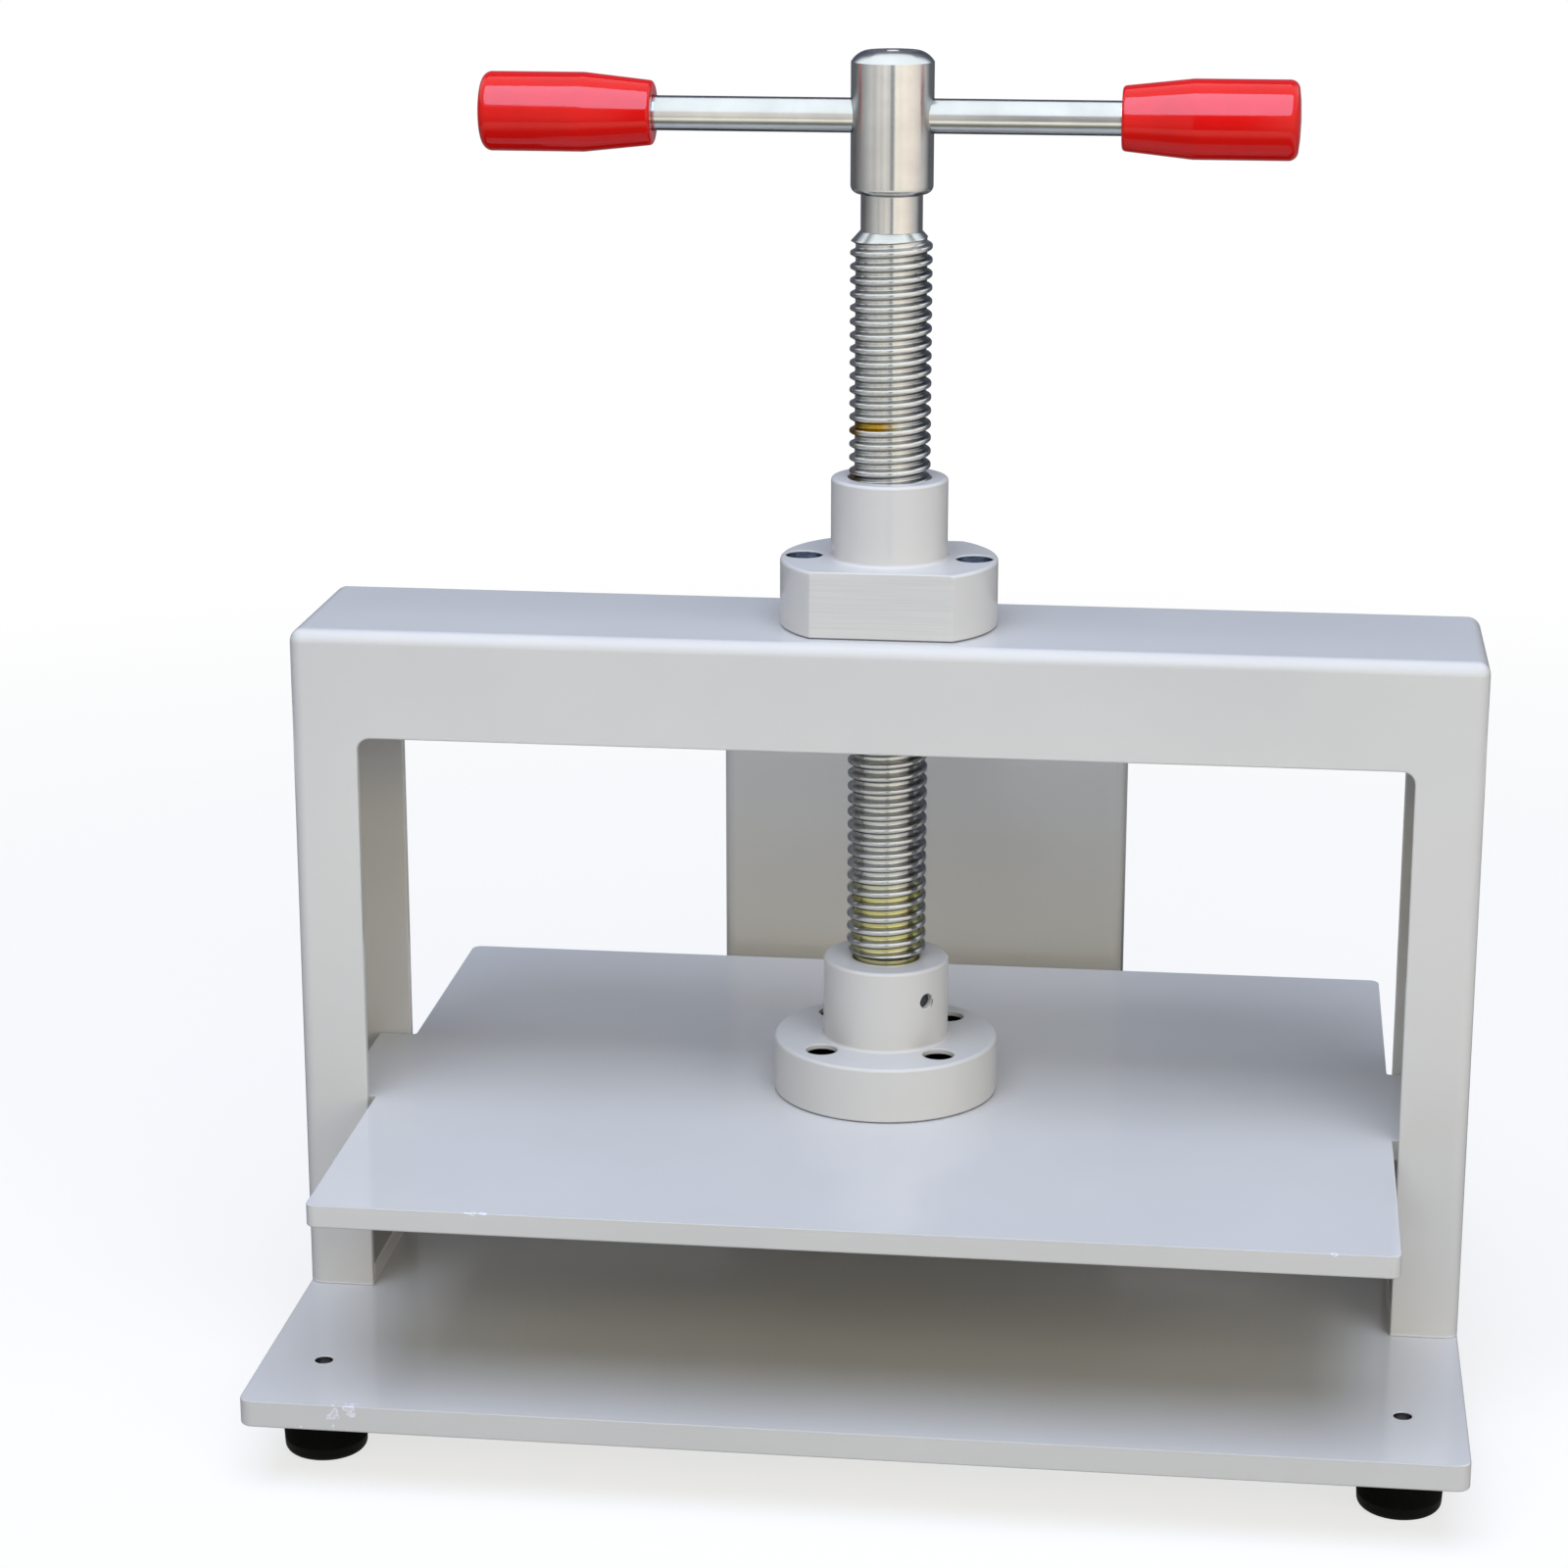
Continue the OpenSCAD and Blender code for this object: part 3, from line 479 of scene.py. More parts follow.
def bright_steel(name, lay, gloss, centre=None):
    """Bright mild steel, turned or drawn: a cool grey mirror that the fine lines of the tool soften, long along the lay
    and close across it. On a screw turned about the centre these lines stretch the sheen. Its thread has a little oily
    dirt in the roots, a film of oil and painted shade on the flanks on the right, painted shade on the downward flanks
    of its lower part, yellow wax in the lowest roots, and dried oil and a trace of rust above the nut."""
    colours = bpy.context.scene.press_colours
    size = bpy.context.scene.press_sizes
    made, tree = blank(name)
    coords = add(tree, "TexCoord")
    place = coords.outputs["Object"]
    # The tool's lines are 0.1 to 0.2 mm apart, and are drawn as far apart as the lay says so that they show.
    stretch = add(tree, "VectorMath", {0: place, 1: tuple(1 / (width * MM) for width in lay)}, operation="MULTIPLY")
    lines = add(tree, "TexNoise", {"Vector": stretch.outputs[0], "Scale": 1.0, "Detail": 3.0}).outputs["Fac"]
    base, _ = mottled(tree, place, colours.steel, 9 * MM, 4.0, 0.92, 1.04)
    rough = add(tree, "MapRange", {"Value": lines, 1: 0.3, 2: 0.7, 3: gloss, 4: gloss + 0.05})
    if centre is not None:
        off = add(tree, "VectorMath", {0: place, 1: (centre[0], centre[1], 0)}, operation="SUBTRACT")
        flat = add(tree, "VectorMath", {0: off.outputs[0], 1: (1, 1, 0)}, operation="MULTIPLY")
        radius = add(tree, "VectorMath", {0: flat.outputs[0]}, operation="LENGTH").outputs["Value"]
        parts = add(tree, "SeparateXYZ", {0: off.outputs[0]})
        along, height = parts.outputs["X"], parts.outputs["Z"]
        facing = add(tree, "SeparateXYZ", {0: coords.outputs["Normal"]}).outputs["Z"]
        crest, low = size.thread_radius, size.thread_low
        root = add(tree, "MapRange", {"Value": radius, 1: crest - 0.6 * MM, 2: crest - 1.4 * MM})
        flank = add(tree, "MapRange", {"Value": radius, 1: crest - 0.15 * MM, 2: crest - 0.5 * MM})
        left = add(tree, "MapRange", {"Value": along, 1: 4 * MM, 2: -2 * MM})
        right = add(tree, "MapRange", {"Value": along, 1: 4 * MM, 2: 9 * MM})
        edge = add(tree, "MapRange", {"Value": along, 1: -7 * MM, 2: -10 * MM})
        under = add(tree, "MapRange", {"Value": facing, 1: -0.3, 2: -0.7})
        patchy = add(tree, "MapRange", {"Value": lines, 1: 0.35, 2: 0.6, 3: 0.3, 4: 1.0})
        nut_top = corners("screw_nut")[1][2]
        # Each residue or painted shade has its colour, the height of its middle, how far from there it is full and
        # where it ends, in millimetres, how much it covers, and where on the thread it lies.
        for tint, at, full, gone, most, *masks in (
            (colours.grime, low + 107 * MM, 105, 108, 0.1, root, patchy),
            # Painted shade on the right flanks, drawn as a film of oil.
            (colours.oil_and_shade, low + 107 * MM, 105, 108, 0.6, flank, right),
            (colours.wax, low, 20, 27, 0.85, root, patchy),
            (colours.oil, nut_top + 16.6 * MM, 1.4, 2.2, 1.0, flank, left),
            (colours.oil, nut_top + 13.9 * MM, 1, 1.6, 0.9, edge),
            (colours.rust, nut_top + 15.5 * MM, 1.5, 2.5, 0.8, patchy, edge),
            (colours.rust, nut_top + 0.5 * MM, 1.5, 3, 0.9, patchy, edge),
            # Painted shade on the downward flanks of the lower thread.
            (colours.seam, low + 3 * MM, 64, 84, 0.3, flank, under),
        ):
            gap = add(tree, "Math", {0: height, 1: at}, operation="SUBTRACT")
            gap = add(tree, "Math", {0: gap.outputs[0]}, operation="ABSOLUTE").outputs[0]
            near = add(tree, "MapRange", {"Value": gap, 1: full * MM, 2: gone * MM, 3: most, 4: 0.0})
            for mask in masks:
                near = add(tree, "Math", {0: near.outputs[0], 1: mask.outputs[0]}, operation="MULTIPLY")
            base = add(tree, "Mix", {0: near.outputs[0], 6: base, 7: tuple(tint)}, data_type="RGBA").outputs[2]
    bump = add(tree, "Bump", {"Strength": 0.015, "Distance": 0.05 * MM, "Height": lines})
    # The tint keeps the steel grey where it is seen edge on.
    shader = add(
        tree, "BsdfPrincipled",
        {
            "Base Color": base, "Metallic": 1.0, "Roughness": rough.outputs[0],
            "Specular Tint": (0.5, 0.52, 0.56, 1), "Normal": bump.outputs[0],
        },
    )
    if centre is not None:
        around = add(tree, "Tangent", direction_type="RADIAL", axis="Z")
        tree.links.new(around.outputs[0], shader.inputs["Tangent"])
        shader.inputs["Anisotropic"].default_value = 0.8
        shader.inputs["Anisotropic Rotation"].default_value = 0.25
    add(tree, "OutputMaterial", {"Surface": shader.outputs[0]})
    return made


def zinc_plate(name, tint):
    """Zinc-plated steel: a dull bluish grey metal with a mottled bloom, which oil and painted shade darken in the dark
    tint.
    """
    made, tree = blank(name)
    place = add(tree, "TexCoord").outputs["Object"]
    base, bloom = mottled(tree, place, tint, 2.5 * MM, 4.0, 0.8, 1.05)
    rough = add(tree, "MapRange", {"Value": bloom, 1: 0.3, 2: 0.7, 3: 0.5, 4: 0.34})
    shader = add(tree, "BsdfPrincipled", {"Base Color": base, "Metallic": 1.0, "Roughness": rough.outputs[0]})
    add(tree, "OutputMaterial", {"Surface": shader.outputs[0]})
    return made


def bearing_bronze(name):
    """Cast bearing bronze, faced on a lathe: warm brown metal with darker spots."""
    made, tree = blank(name)
    place = add(tree, "TexCoord").outputs["Object"]
    base, _ = mottled(tree, place, bpy.context.scene.press_colours.bronze, 3 * MM, 3.0, 0.85, 1.05)
    shader = add(tree, "BsdfPrincipled", {"Base Color": base, "Metallic": 1.0, "Roughness": 0.4})
    add(tree, "OutputMaterial", {"Surface": shader.outputs[0]})
    return made


def moulded_plastic(name):
    """Glossy moulded thermoset: a deep even red, a clear reflection that wavers a little, and faint rubbed patches."""
    made, tree = blank(name)
    place = add(tree, "TexCoord").outputs["Object"]
    base, flow = mottled(tree, place, bpy.context.scene.press_colours.red, 14 * MM, 2.0, 0.93, 1.04)
    rubbed = add(tree, "TexNoise", {"Vector": place, "Scale": 1 / (5 * MM), "Detail": 5.0, "Roughness": 0.65})
    rough = add(tree, "MapRange", {"Value": rubbed.outputs["Fac"], 1: 0.35, 2: 0.7, 3: 0.06, 4: 0.12})
    bump = add(tree, "Bump", {"Strength": 0.05, "Distance": 0.2 * MM, "Height": flow})
    shader = add(
        tree, "BsdfPrincipled",
        {
            "Base Color": base, "Roughness": rough.outputs[0], "IOR": 1.5, "Specular IOR Level": 0.25,
            "Normal": bump.outputs[0],
        },
    )
    add(tree, "OutputMaterial", {"Surface": shader.outputs[0]})
    return made


def foot_rubber(name):
    """Moulded black rubber: nearly black and matt, with a grey bloom and a fine grain."""
    made, tree = blank(name)
    place = add(tree, "TexCoord").outputs["Object"]
    base, _ = mottled(tree, place, bpy.context.scene.press_colours.rubber, 6 * MM, 4.0, 0.8, 1.5, 0.75)
    grain = add(tree, "TexNoise", {"Vector": place, "Scale": 1 / (0.7 * MM), "Detail": 2.0})
    bump = add(tree, "Bump", {"Strength": 0.2, "Distance": 0.1 * MM, "Height": grain.outputs["Fac"]})
    shader = add(
        tree, "BsdfPrincipled",
        {"Base Color": base, "Roughness": 0.7, "Specular IOR Level": 0.1, "Normal": bump.outputs[0]},
    )
    add(tree, "OutputMaterial", {"Surface": shader.outputs[0]})
    return made


def in_view(tree, ray):
    """1 for a ray that comes from the camera, a mirror or glass, and 0 for one that only carries light."""
    seen = add(tree, "Math", {0: ray.outputs["Is Camera Ray"], 1: ray.outputs["Is Glossy Ray"]}, operation="MAXIMUM")
    through = ray.outputs["Is Transmission Ray"]
    return add(tree, "Math", {0: seen.outputs[0], 1: through}, operation="MAXIMUM").outputs[0]


def studio_floor(name):
    """A white paper floor: it takes the soft shadow of the press near it and fades to plain white further off."""
    colours = bpy.context.scene.press_colours
    made, tree = blank(name)
    place = add(tree, "TexCoord").outputs["Object"]
    away = add(tree, "VectorMath", {0: place}, operation="LENGTH").outputs["Value"]
    white = add(tree, "MapRange", {"Value": away, 1: 0.35, 2: 1.1, 3: 0.72, 4: 1.0})
    ray = add(tree, "LightPath")
    mix = add(tree, "Math", {0: in_view(tree, ray), 1: white.outputs[0]}, operation="MULTIPLY")
    tint = add(
        tree, "Mix", {0: ray.outputs["Is Diffuse Ray"], 6: tuple(colours.floor), 7: tuple(colours.bounce)},
        data_type="RGBA",
    )
    paper = add(tree, "BsdfDiffuse", {"Color": tint.outputs[2]})
    glow = add(tree, "Emission", {"Color": (1, 1, 1, 1), "Strength": 1.0})
    both = add(tree, "MixShader", {0: mix.outputs[0], 1: paper.outputs[0], 2: glow.outputs[0]})
    add(tree, "OutputMaterial", {"Surface": both.outputs[0]})
    return made


def mirror_screen(name, stops, along, near, far, dim, bright):
    """A paper screen that only reflections show: its colour goes round the press by the stops, from the left past the
    camera to the right and the back, and its glow goes from dim to bright with the length along the given axes."""
    made, tree = blank(name)
    place = add(tree, "TexCoord").outputs["Object"]
    round_about = add(tree, "TexGradient", {"Vector": place}, gradient_type="RADIAL")
    ramp = add(tree, "ValToRGB", {"Fac": round_about.outputs["Fac"]})
    ramp.color_ramp.elements.remove(ramp.color_ramp.elements[1])
    ramp.color_ramp.elements[0].color = linear(stops[0][1])
    for at, tint in stops[1:]:
        ramp.color_ramp.elements.new(at).color = linear(tint)
    out = add(tree, "VectorMath", {0: place, 1: along}, operation="MULTIPLY")
    out = add(tree, "VectorMath", {0: out.outputs[0]}, operation="LENGTH").outputs["Value"]
    level = add(tree, "MapRange", {"Value": out, 1: near, 2: far, 3: dim, 4: bright})
    glow = add(tree, "Emission", {"Color": ramp.outputs[0], "Strength": level.outputs[0]})
    add(tree, "OutputMaterial", {"Surface": glow.outputs[0]})
    return made


class PRESS_OT_plates(bpy.types.Operator):
    """Base plate and platen: flat painted plates with rolled edges, chipped along the outside"""

    bl_idname = "press.plates"
    bl_label = "Plates"

    def execute(self, context):
        size = context.scene.press_sizes
        colours = context.scene.press_colours
        lo, hi = corners("base_plate")
        box = [(lo[0], lo[1]), (hi[0], lo[1]), (hi[0], hi[1]), (lo[0], hi[1])]
        feet = [middle("rubber_foot_" + side) for side in FEET]
        holes = [circle(axis, size.hole_radius) for axis in feet + pair("back_stop_screws")]
        bolt_lo, bolt_hi = corners("frame_screws")
        bolt_r = size.head_radius - 0.5 * MM
        head_depth = 5 * MM
        bolts = [
            (x, y)
            for x in (bolt_lo[0] + bolt_r, bolt_hi[0] - bolt_r)
            for y in (bolt_lo[1] + bolt_r, bolt_hi[1] - bolt_r)
        ]
        pits = [(circle(bolt, size.head_radius), lo[2] + head_depth) for bolt in bolts]
        patches = plate(rounded(box, size.plate_corner), lo[2], hi[2], size.paint_edge, holes, pits)
        knocks = (
            ((-147.3 * MM, lo[1], hi[2] - 3 * MM), (1.6 * MM, 3 * MM, 3.2 * MM)),
            ((-142.3 * MM, lo[1], hi[2] - 1 * MM), (2 * MM, 3 * MM, 1.8 * MM)),
        )
        spread = np.abs(feet[0])[:2]
        # Painted shade in the screw holes, drawn as dull metal.
        bore = ((0, 0), spread, size.hole_radius + 0.4 * MM, hi[2] - 0.08 * MM, colours.base_bore_shade)
        paint = powder_coat("powder_coat_base", colours.paint, "base_plate", knocks, bore)
        weigh_normals(piece("base_sheet", patches, paint, "press_body", "grey_paint", "base_plate"))

        lo, hi = corners("platen")
        axis = middle("press_screw")[1]
        w, e = size.platen_width / 2, size.ear_depth / 2
        points = [
            (-w, lo[1]), (w, lo[1]), (w, axis - e), (hi[0], axis - e), (hi[0], axis + e), (w, axis + e),
            (w, hi[1]), (-w, hi[1]), (-w, axis + e), (lo[0], axis + e), (lo[0], axis - e), (-w, axis - e),
        ]
        r, s = size.platen_corner, 1.2 * MM
        outline = rounded(points, [r, r, s, s, s, s, r, r, s, s, s, s])
        patches = plate(outline, lo[2], hi[2], size.paint_edge)
        knocks = (
            ((-104 * MM, lo[1], hi[2]), (2.4 * MM, 1.2 * MM, 0.7 * MM)),
            ((135 * MM, lo[1], hi[2]), (1.2 * MM, 1.2 * MM, 0.8 * MM)),
        )
        paint = powder_coat("powder_coat_platen", colours.paint, "platen", knocks)
        weigh_normals(piece("platen_sheet", patches, paint, "platen_body", "grey_paint", "platen"))
        return {"FINISHED"}


class PRESS_OT_portal(bpy.types.Operator):
    """Portal with its feet and the bar under its beam: folded and welded sheet under one coat of paint"""

    bl_idname = "press.portal"
    bl_label = "Portal"

    def execute(self, context):
        size = context.scene.press_sizes
        colours = context.scene.press_colours
        foot = corners("gantry_frame")[0][2]
        # The pale line along the foot of the portal is a painted highlight.
        finish = powder_coat("powder_coat_portal", colours.paint, seam=(foot, 1 * MM, 0.8, colours.chip_and_highlight))
        coated("gantry_frame", finish, "press_body", size.paint_edge)
        for node in ("upright_foot_left", "upright_foot_right", "beam_stiffener"):
            coated(node, finish, "press_body", size.paint_edge)
        return {"FINISHED"}


class PRESS_OT_stop(bpy.types.Operator):
    """Back stop: a plate folded back at both sides, with a tab that is screwed to the base plate"""

    bl_idname = "press.stop"
    bl_label = "Back stop"

    def execute(self, context):
        size = context.scene.press_sizes
        lo, hi = corners("back_stop")
        t, b = size.sheet, size.bend
        points = [
            (lo[0], lo[1]), (hi[0], lo[1]), (hi[0], hi[1]), (hi[0] - t, hi[1]),
            (hi[0] - t, lo[1] + t), (lo[0] + t, lo[1] + t), (lo[0] + t, hi[1]), (lo[0], hi[1]),
        ]
        s = 0.7 * MM
        outline = rounded(points, [b, b, s, s, b - t, b - t, s, s])
        patches = plate(outline, lo[2], hi[2], size.paint_edge)
        holes = [circle(axis, size.hole_radius) for axis in pair("back_stop_screws")]
        tab = [(lo[0] + t, lo[1] + t), (hi[0] - t, lo[1] + t), (hi[0] - t, hi[1]), (lo[0] + t, hi[1])]
        patches += plate(rounded(tab, s), lo[2], lo[2] + t, 0.3 * MM, holes)
        # The darker, warmer paint of the back stop is painted shade.
        paint = powder_coat("powder_coat_stop_shaded", context.scene.press_colours.stop_paint_shaded)
        weigh_normals(piece("stop_sheet", patches, paint, "press_body", "grey_paint", "back_stop"))
        return {"FINISHED"}


class PRESS_OT_nut_and_collar(bpy.types.Operator):
    """Nut on the beam and collar on the platen: turned steel under the same paint"""

    bl_idname = "press.nut_and_collar"
    bl_label = "Nut and collar"

    def execute(self, context):
        size = context.scene.press_sizes
        colours = context.scene.press_colours
        axis = middle("press_screw")
        # A line of painted shade runs along the seam under the nut and under the collar.
        seam_height, seam_shade = 0.7 * MM, 0.85
        lo, hi = corners("screw_nut")
        screw_lo, screw_hi = corners("nut_screws")
        head = (screw_hi[1] - screw_lo[1]) / 2
        bore = (axis, (screw_hi[0] - head, 0), head + 0.7 * MM, lo[2] + 19.7 * MM, colours.nut_bore)
        seam = (lo[2], seam_height, seam_shade, colours.seam)
        flats = (axis[1], (hi[1] - lo[1]) / 2)
        paint = powder_coat("powder_coat_nut", colours.paint, bore=bore, seam=seam, milled=flats)
        coated("screw_nut", paint, "press_body", size.turned_edge)
        low = corners("platen_collar")[0][2]
        head = 4.25 * MM
        out = corners("collar_screws")[1][0] - head
        # Painted shade in the collar's counterbores, drawn as nearly black metal.
        bore = (axis, (out, out), head + 0.6 * MM, low + 15.6 * MM, colours.collar_bore_shade)
        seam = (low, seam_height, seam_shade, colours.seam)
        paint = powder_coat("powder_coat_collar", colours.paint, bore=bore, seam=seam)
        coated("platen_collar", paint, "platen_body", size.turned_edge)
        return {"FINISHED"}


class PRESS_OT_screw(bpy.types.Operator):
    """Press screw: journal, right-hand thread, neck and hub, turned from one bar"""

    bl_idname = "press.screw"
    bl_label = "Press screw"

    def execute(self, context):
        size = context.scene.press_sizes
        lo, hi = corners("press_screw")
        centre = middle("press_screw")
        spot = (centre[0], centre[1], 0)
        low, top = size.thread_low, size.thread_low + size.thread_length
        # The journal and the neck go a little further into the thread than its closed ends.
        into = size.pitch + 1 * MM
        j = size.journal_radius
        groove = middle("collar_set_screw")[2]
        half, deep = 1.7 * MM, 2 * MM
        journal = rounded(
            [
                (0, lo[2]), (j, lo[2]), (j, groove - half), (j - deep, groove - half), (j - deep, groove + half),
                (j, groove + half), (j, low + into), (0, low + into),
            ],
            [0, 0.5 * MM, 0, 0, 0, 0, 0, 0],
        )
        n, h, g = size.neck_radius, size.thread_radius, size.grub_hole
        hub_low = hi[2] - size.hub_height
        floor = corners("bar_grub_screw")[1][2] - 0.5 * MM
        slope = np.radians(np.linspace(60, 15, 10))
        rim = h - size.hub_crown * (np.sin(slope[0]) - np.sin(slope))
        rise = hi[2] - size.hub_crown * (np.cos(slope[-1]) - np.cos(slope))
        crown = list(zip(rim, rise))
        crown_radii = [0.3 * MM, *[0] * (len(crown) - 2), 0.6 * MM]
        hub = rounded(
            [
                (0, top - into), (n, top - into), (n, hub_low), (h, hub_low), *crown,
                (g, hi[2]), (g, floor), (0, floor),
            ],
            [0, 0, 0.4 * MM, 2.4 * MM, *crown_radii, 0.4 * MM, 0, 0],
            steps=10,
        )
        patches = [turned(journal, spot), turned(hub, spot), helical_thread(spot, low, size)]
        steel = bright_steel("turned_bright_steel", (14, 14, 0.5), 0.2, centre)
        piece("screw_turned", patches, steel, "screw_body", "bright_steel", "press_screw")
        return {"FINISHED"}


class PRESS_OT_handle(bpy.types.Operator):
    """Handle: a round bar through the hub and a moulded red grip on each end"""

    bl_idname = "press.handle"
    bl_label = "Handle"

    def execute(self, context):
        size = context.scene.press_sizes
        lo, hi = corners("handle_bar")
        centre = middle("handle_bar")
        spot = (0, centre[1], centre[2])
        r = (hi[2] - lo[2]) / 2
        rod = rounded([(0, lo[0]), (r, lo[0]), (r, hi[0]), (0, hi[0])], [0, 0.8 * MM, 0.8 * MM, 0])
        steel = bright_steel("drawn_bright_steel", (16, 0.7, 0.7), 0.18)
        piece("bar_turned", [turned(rod, spot, "X", 64)], steel, "screw_body", "bright_steel", "handle_bar")
        red = moulded_plastic("moulded_red_plastic")
        for side in ("left", "right"):
            lo, hi = corners("grip_" + side)
            inner, outer = (hi[0], lo[0]) if side == "left" else (lo[0], hi[0])
            long, fat = abs(outer - inner), (hi[2] - lo[2]) / 2
            bore, deep = r + 0.15 * MM, 4 * MM
            along = rounded(
                [
                    (0, deep), (bore, deep), (bore, 0), (size.grip_end, 0), (fat, 0.4 * long), (fat, long - 0.9 * MM),
                    (0.5 * fat, long - 0.22 * MM), (0, long),
                ],
                [0, 0, 0.3 * MM, 1.2 * MM, 6 * MM, 2.8 * MM, 5 * MM, 0],
                steps=10,
            )
            along[:, 1] = inner + along[:, 1] * np.sign(outer - inner)
            piece("grip_moulded_" + side, [turned(along, spot, "X")], red, "screw_body", "red_plastic", "grip_" + side)
        return {"FINISHED"}


class PRESS_OT_feet(bpy.types.Operator):
    """Rubber feet: tapered bumpers with a rolled lower edge and a bore for their screw"""

    bl_idname = "press.feet"
    bl_label = "Rubber feet"

    def execute(self, context):
        size = context.scene.press_sizes
        rubber = foot_rubber("moulded_black_rubber")
        for side in FEET:
            node = "rubber_foot_" + side
            lo, hi = corners(node)
            x, y, _ = middle(node)
            top = (hi[0] - lo[0]) / 2
            profile = rounded(
                [
                    (0, size.foot_bore_depth), (size.foot_bore, size.foot_bore_depth), (size.foot_bore, 0),
                    (size.foot_low, 0), (top, hi[2]), (0, hi[2]),
                ],
                [0, 0, 0.5 * MM, 2.2 * MM, 0.4 * MM, 0],
                steps=8,
            )
            bumper = turned(profile, (x, y, 0), "Z", 64)
            piece("bumper_" + side, [bumper], rubber, "press_body", "rubber", node)
        return {"FINISHED"}


class PRESS_OT_fasteners(bpy.types.Operator):
    """Screws and washers: the solids themselves, with plated and bronze surfaces"""

    bl_idname = "press.fasteners"
    bl_label = "Screws and washers"

    def execute(self, context):
        colours = context.scene.press_colours
        zinc = zinc_plate("zinc_plated_steel", colours.zinc)
        # The screws in the collar are darkened by oil and by painted shade, deep in their holes.
        oil_and_shade = zinc_plate("oiled_and_shaded_zinc_plated_steel", colours.oil_and_shade)
        bronze = bearing_bronze("bearing_bronze")
        finishes = (
            (zinc, "foot_screws", "foot_washers", "frame_screws", "nut_screws", "back_stop_screws", "bar_grub_screw"),
            (oil_and_shade, "collar_screws", "collar_set_screw"),
            (bronze, "thrust_washer"),
        )
        for finish, *nodes in finishes:
            for node in nodes:
                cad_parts[node].data.materials.clear()
                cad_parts[node].data.materials.append(finish)
        return {"FINISHED"}


def softbox(name, place, aim, width, height, radiance, tint):
    """A rectangular lamp that faces a point and shines with the same radiance all over, whatever its size."""
    data = bpy.data.lights.new(name, "AREA")
    data.shape = "RECTANGLE"
    data.size, data.size_y = width, height
    data.energy = radiance * math.pi * width * height
    data.color = tint
    obj = bpy.data.objects.new(name, data)
    obj.location = place
    obj.rotation_mode = "QUATERNION"
    obj.rotation_quaternion = (Vector(aim) - Vector(place)).to_track_quat("-Z", "Y")
    obj.visible_camera = obj.visible_glossy = False
    bpy.context.scene.collection.objects.link(obj)
    return obj


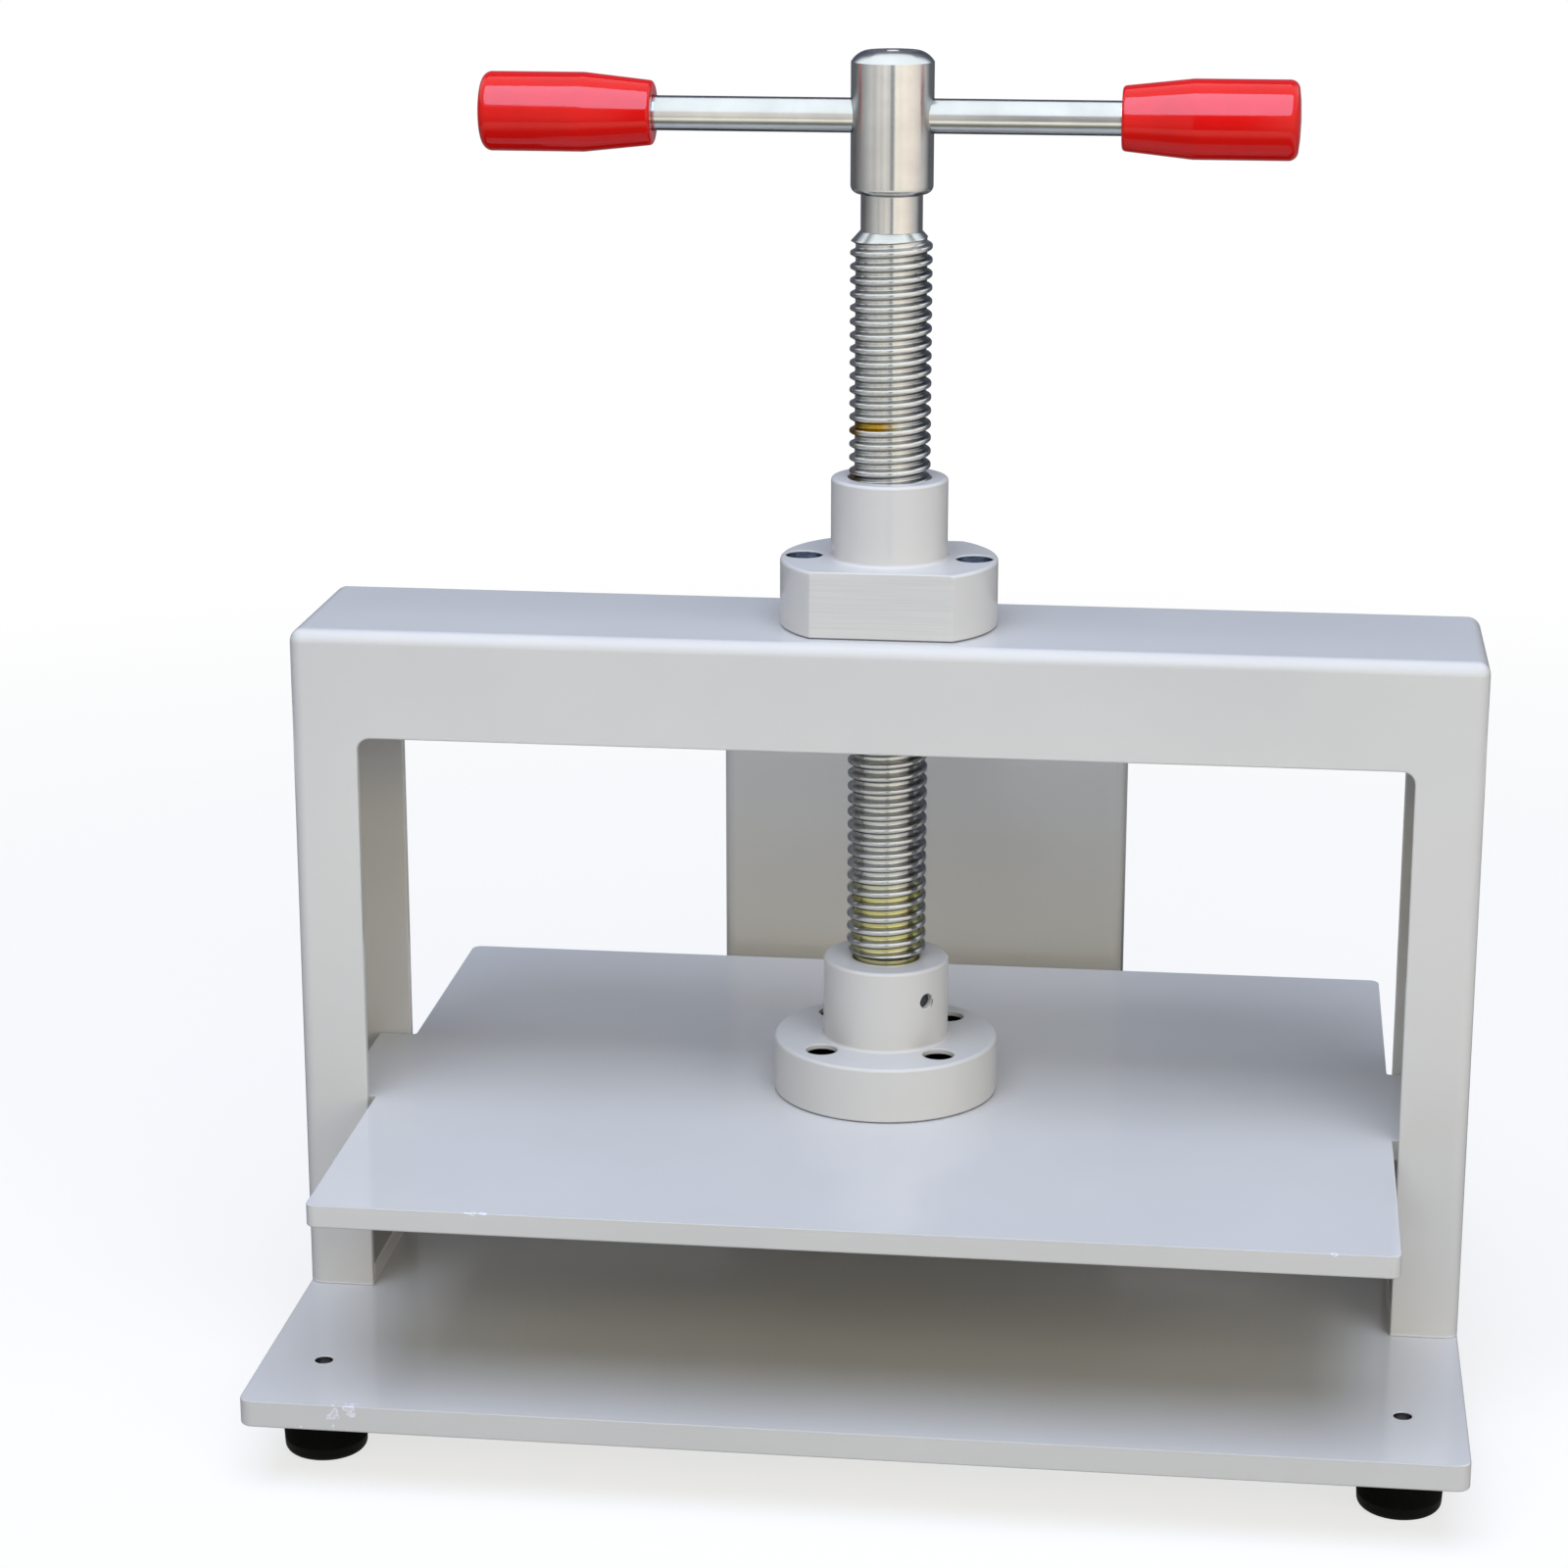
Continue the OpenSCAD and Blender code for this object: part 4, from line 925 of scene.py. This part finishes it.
class PRESS_OT_stage(bpy.types.Operator):
    """Studio: white floor, screens that only reflections show, soft lamps and the camera"""

    bl_idname = "press.stage"
    bl_label = "Studio"

    def execute(self, context):
        scene = context.scene
        scene.view_settings.view_transform = "Standard"
        mesh = bpy.data.meshes.new("floor")
        far = 12
        mesh.from_pydata([(-far, -far, 0), (far, -far, 0), (far, far, 0), (-far, far, 0)], [], [(0, 1, 2, 3)])
        mesh.materials.append(studio_floor("white_paper_floor"))
        floor = bpy.data.objects.new("floor", mesh)
        scene.collection.objects.link(floor)

        reach, rim = 0.8, 0.6
        around = circle((0, 0), reach, 96)
        lean = np.radians(np.linspace(0, 88, 23))
        dome = [(math.cos(a), rim + reach * math.sin(a)) for a in lean]
        # The sky ends half way up, where the zenith goes on without the dark back.
        half = len(dome) // 2
        upright_stops = (
            (0.0, "868686"), (0.03, "939393"), (0.1, "bfbfbf"), (0.13, "b3afae"), (0.16, "d4cfca"), (0.185, "c2bebc"),
            (0.21, "e2dcd4"), (0.23, "cbc8c6"), (0.245, "d4d2d0"), (0.253, "7a7a80"), (0.276, "7a7a80"),
            (0.285, "fff8ec"), (0.32, "f4e9dc"), (0.35, "fff4e6"), (0.42, "f4e6da"), (0.53, "b8b8b8"), (0.6, "5a5a5a"),
            (0.68, "6c6e74"), (0.85, "6c6e74"), (0.93, "5a5a5a"), (1.0, "868686"),
        )
        ground_stops = (
            (0.0, "868686"), (0.15, "d4d2c8"), (0.265, "e2e0d2"), (0.4, "d4d2c8"), (0.53, "a8a8a8"), (0.6, "5a5a5a"),
            (0.93, "5a5a5a"), (1.0, "868686"),
        )
        sky_stops = ((0.0, "f0f8ff"), (0.6, "f0f8ff"), (0.66, "585868"), (0.87, "585868"), (0.93, "f0f8ff"))
        # Each screen has rings of (part of the reach, height), and then what mirror_screen takes.
        screens = (
            ("upright", [(1, 0.03), (1, rim)], upright_stops, (0, 0, 1), 0.02, 0.28, 0.95, 1.65),
            ("ground", [(0.02, 0.004), (1, 0.004)], ground_stops, (1, 1, 0), 0.35, 0.55, 0.3, 2.1),
            ("sky", dome[:half + 1], sky_stops, (0, 0, 1), rim, rim + reach, 1.68, 1.68),
            ("zenith", dome[half:], sky_stops[:2], (0, 0, 1), rim, rim + reach, 1.68, 1.68),
        )
        for name, rings, *glow in screens:
            rows = [np.column_stack([around * k, np.full(len(around), z)]) for k, z in rings]
            points, faces = grid(np.stack(rows))
            mesh = bpy.data.meshes.new("screen_" + name)
            mesh.from_pydata(points.tolist(), [], faces.tolist())
            mesh.materials.append(mirror_screen("paper_screen_" + name, *glow))
            screen = bpy.data.objects.new("screen_" + name, mesh)
            screen.visible_camera = screen.visible_diffuse = False
            screen.visible_shadow = screen.visible_transmission = False
            scene.collection.objects.link(screen)

        world = bpy.data.worlds.new("studio")
        scene.world = world
        world.use_nodes = True
        tree = world.node_tree
        tree.nodes.clear()
        seen = in_view(tree, add(tree, "LightPath"))
        level = add(tree, "MapRange", {"Value": seen, 3: 0.26, 4: 1.0})
        way = add(tree, "SeparateXYZ", {0: add(tree, "TexCoord").outputs["Generated"]})
        up = add(tree, "MapRange", {"Value": way.outputs["Z"], 1: 0.1, 2: 0.8})
        warm, cool, white = (1.0, 0.93, 0.8, 1), (0.66, 0.88, 1.4, 1), (1, 1, 1, 1)
        tint = add(tree, "Mix", {0: up.outputs[0], 6: warm, 7: cool}, data_type="RGBA")
        tint = add(tree, "Mix", {0: seen, 6: tint.outputs[2], 7: white}, data_type="RGBA")
        sky = add(tree, "Background", {"Color": tint.outputs[2], "Strength": level.outputs[0]})
        add(tree, "OutputWorld", {"Surface": sky.outputs[0]})

        softbox("lamp_top", (-0.05, -0.66, 1.8), (0, -0.02, 0.38), 1.8, 1.5, 4.0, (0.83, 0.935, 1.19))
        softbox("lamp_front", (0.15, -2.2, 1.3), (0, 0, 0.25), 2.4, 0.8, 1.9, (1.0, 0.9, 0.5))
        softbox("lamp_right", (1.6, -1.5, 0.7), (0, 0, 0.2), 1.2, 1.3, 3.0, (1.0, 0.94, 0.83))
        softbox("lamp_left", (-1.6, -1.6, 0.7), (0, 0, 0.2), 1.0, 1.2, 0.7, (1.0, 0.88, 0.62))
        # Only the grips mirror this lamp, as bright metal would burn out in it.
        shine = softbox("lamp_grips", (-0.03, -0.48, 0.904), (-0.03, -0.02, 0.378), 1.1, 0.95, 8.0, (0.4, 0.85, 1.25))
        shine.visible_diffuse, shine.visible_glossy = False, True
        grips = bpy.data.collections.new("grips")
        for side in ("left", "right"):
            grips.objects.link(bpy.data.objects["grip_moulded_" + side])
        shine.light_linking.receiver_collection = grips

        data = bpy.data.cameras.new("camera")
        data.lens = 86.97
        data.sensor_width = 36
        data.clip_start, data.clip_end = 0.01, 100
        camera = bpy.data.objects.new("camera", data)
        camera.location = (0.1039, -1.1118, 0.49019)
        down, aside = 15.568, 7.057
        camera.rotation_euler = (math.radians(90 - down), 0, math.radians(aside))
        scene.collection.objects.link(camera)
        scene.camera = camera
        return {"FINISHED"}


STEPS = (
    PRESS_OT_plates, PRESS_OT_portal, PRESS_OT_stop, PRESS_OT_nut_and_collar, PRESS_OT_screw, PRESS_OT_handle,
    PRESS_OT_feet, PRESS_OT_fasteners, PRESS_OT_stage,
)


class PRESS_PT_panel(bpy.types.Panel):
    """Lists the sizes, the colours and the steps that dress the press"""

    bl_idname = "PRESS_PT_panel"
    bl_label = "Copying press"
    bl_space_type = "VIEW_3D"
    bl_region_type = "UI"
    bl_category = "Press"

    def draw(self, context):
        for group in (context.scene.press_sizes, context.scene.press_colours):
            column = self.layout.column()
            for key in group.__annotations__:
                column.prop(group, key)
        for step in STEPS:
            self.layout.operator(step.bl_idname)


CLASSES = (PressSizes, PressColours, *STEPS, PRESS_PT_panel)


def register():
    """Registers the classes and gives the scene their sizes and colours."""
    for cls in CLASSES:
        bpy.utils.register_class(cls)
    bpy.types.Scene.press_sizes = PointerProperty(type=PressSizes)
    bpy.types.Scene.press_colours = PointerProperty(type=PressColours)


def unregister():
    """Takes back what register gave."""
    del bpy.types.Scene.press_sizes
    del bpy.types.Scene.press_colours
    for cls in reversed(CLASSES):
        bpy.utils.unregister_class(cls)


def main():
    """Dresses the press step by step."""
    register()
    bpy.ops.press.plates()
    bpy.ops.press.portal()
    bpy.ops.press.stop()
    bpy.ops.press.nut_and_collar()
    bpy.ops.press.screw()
    bpy.ops.press.handle()
    bpy.ops.press.feet()
    bpy.ops.press.fasteners()
    bpy.ops.press.stage()


if __name__ == "__main__":
    main()
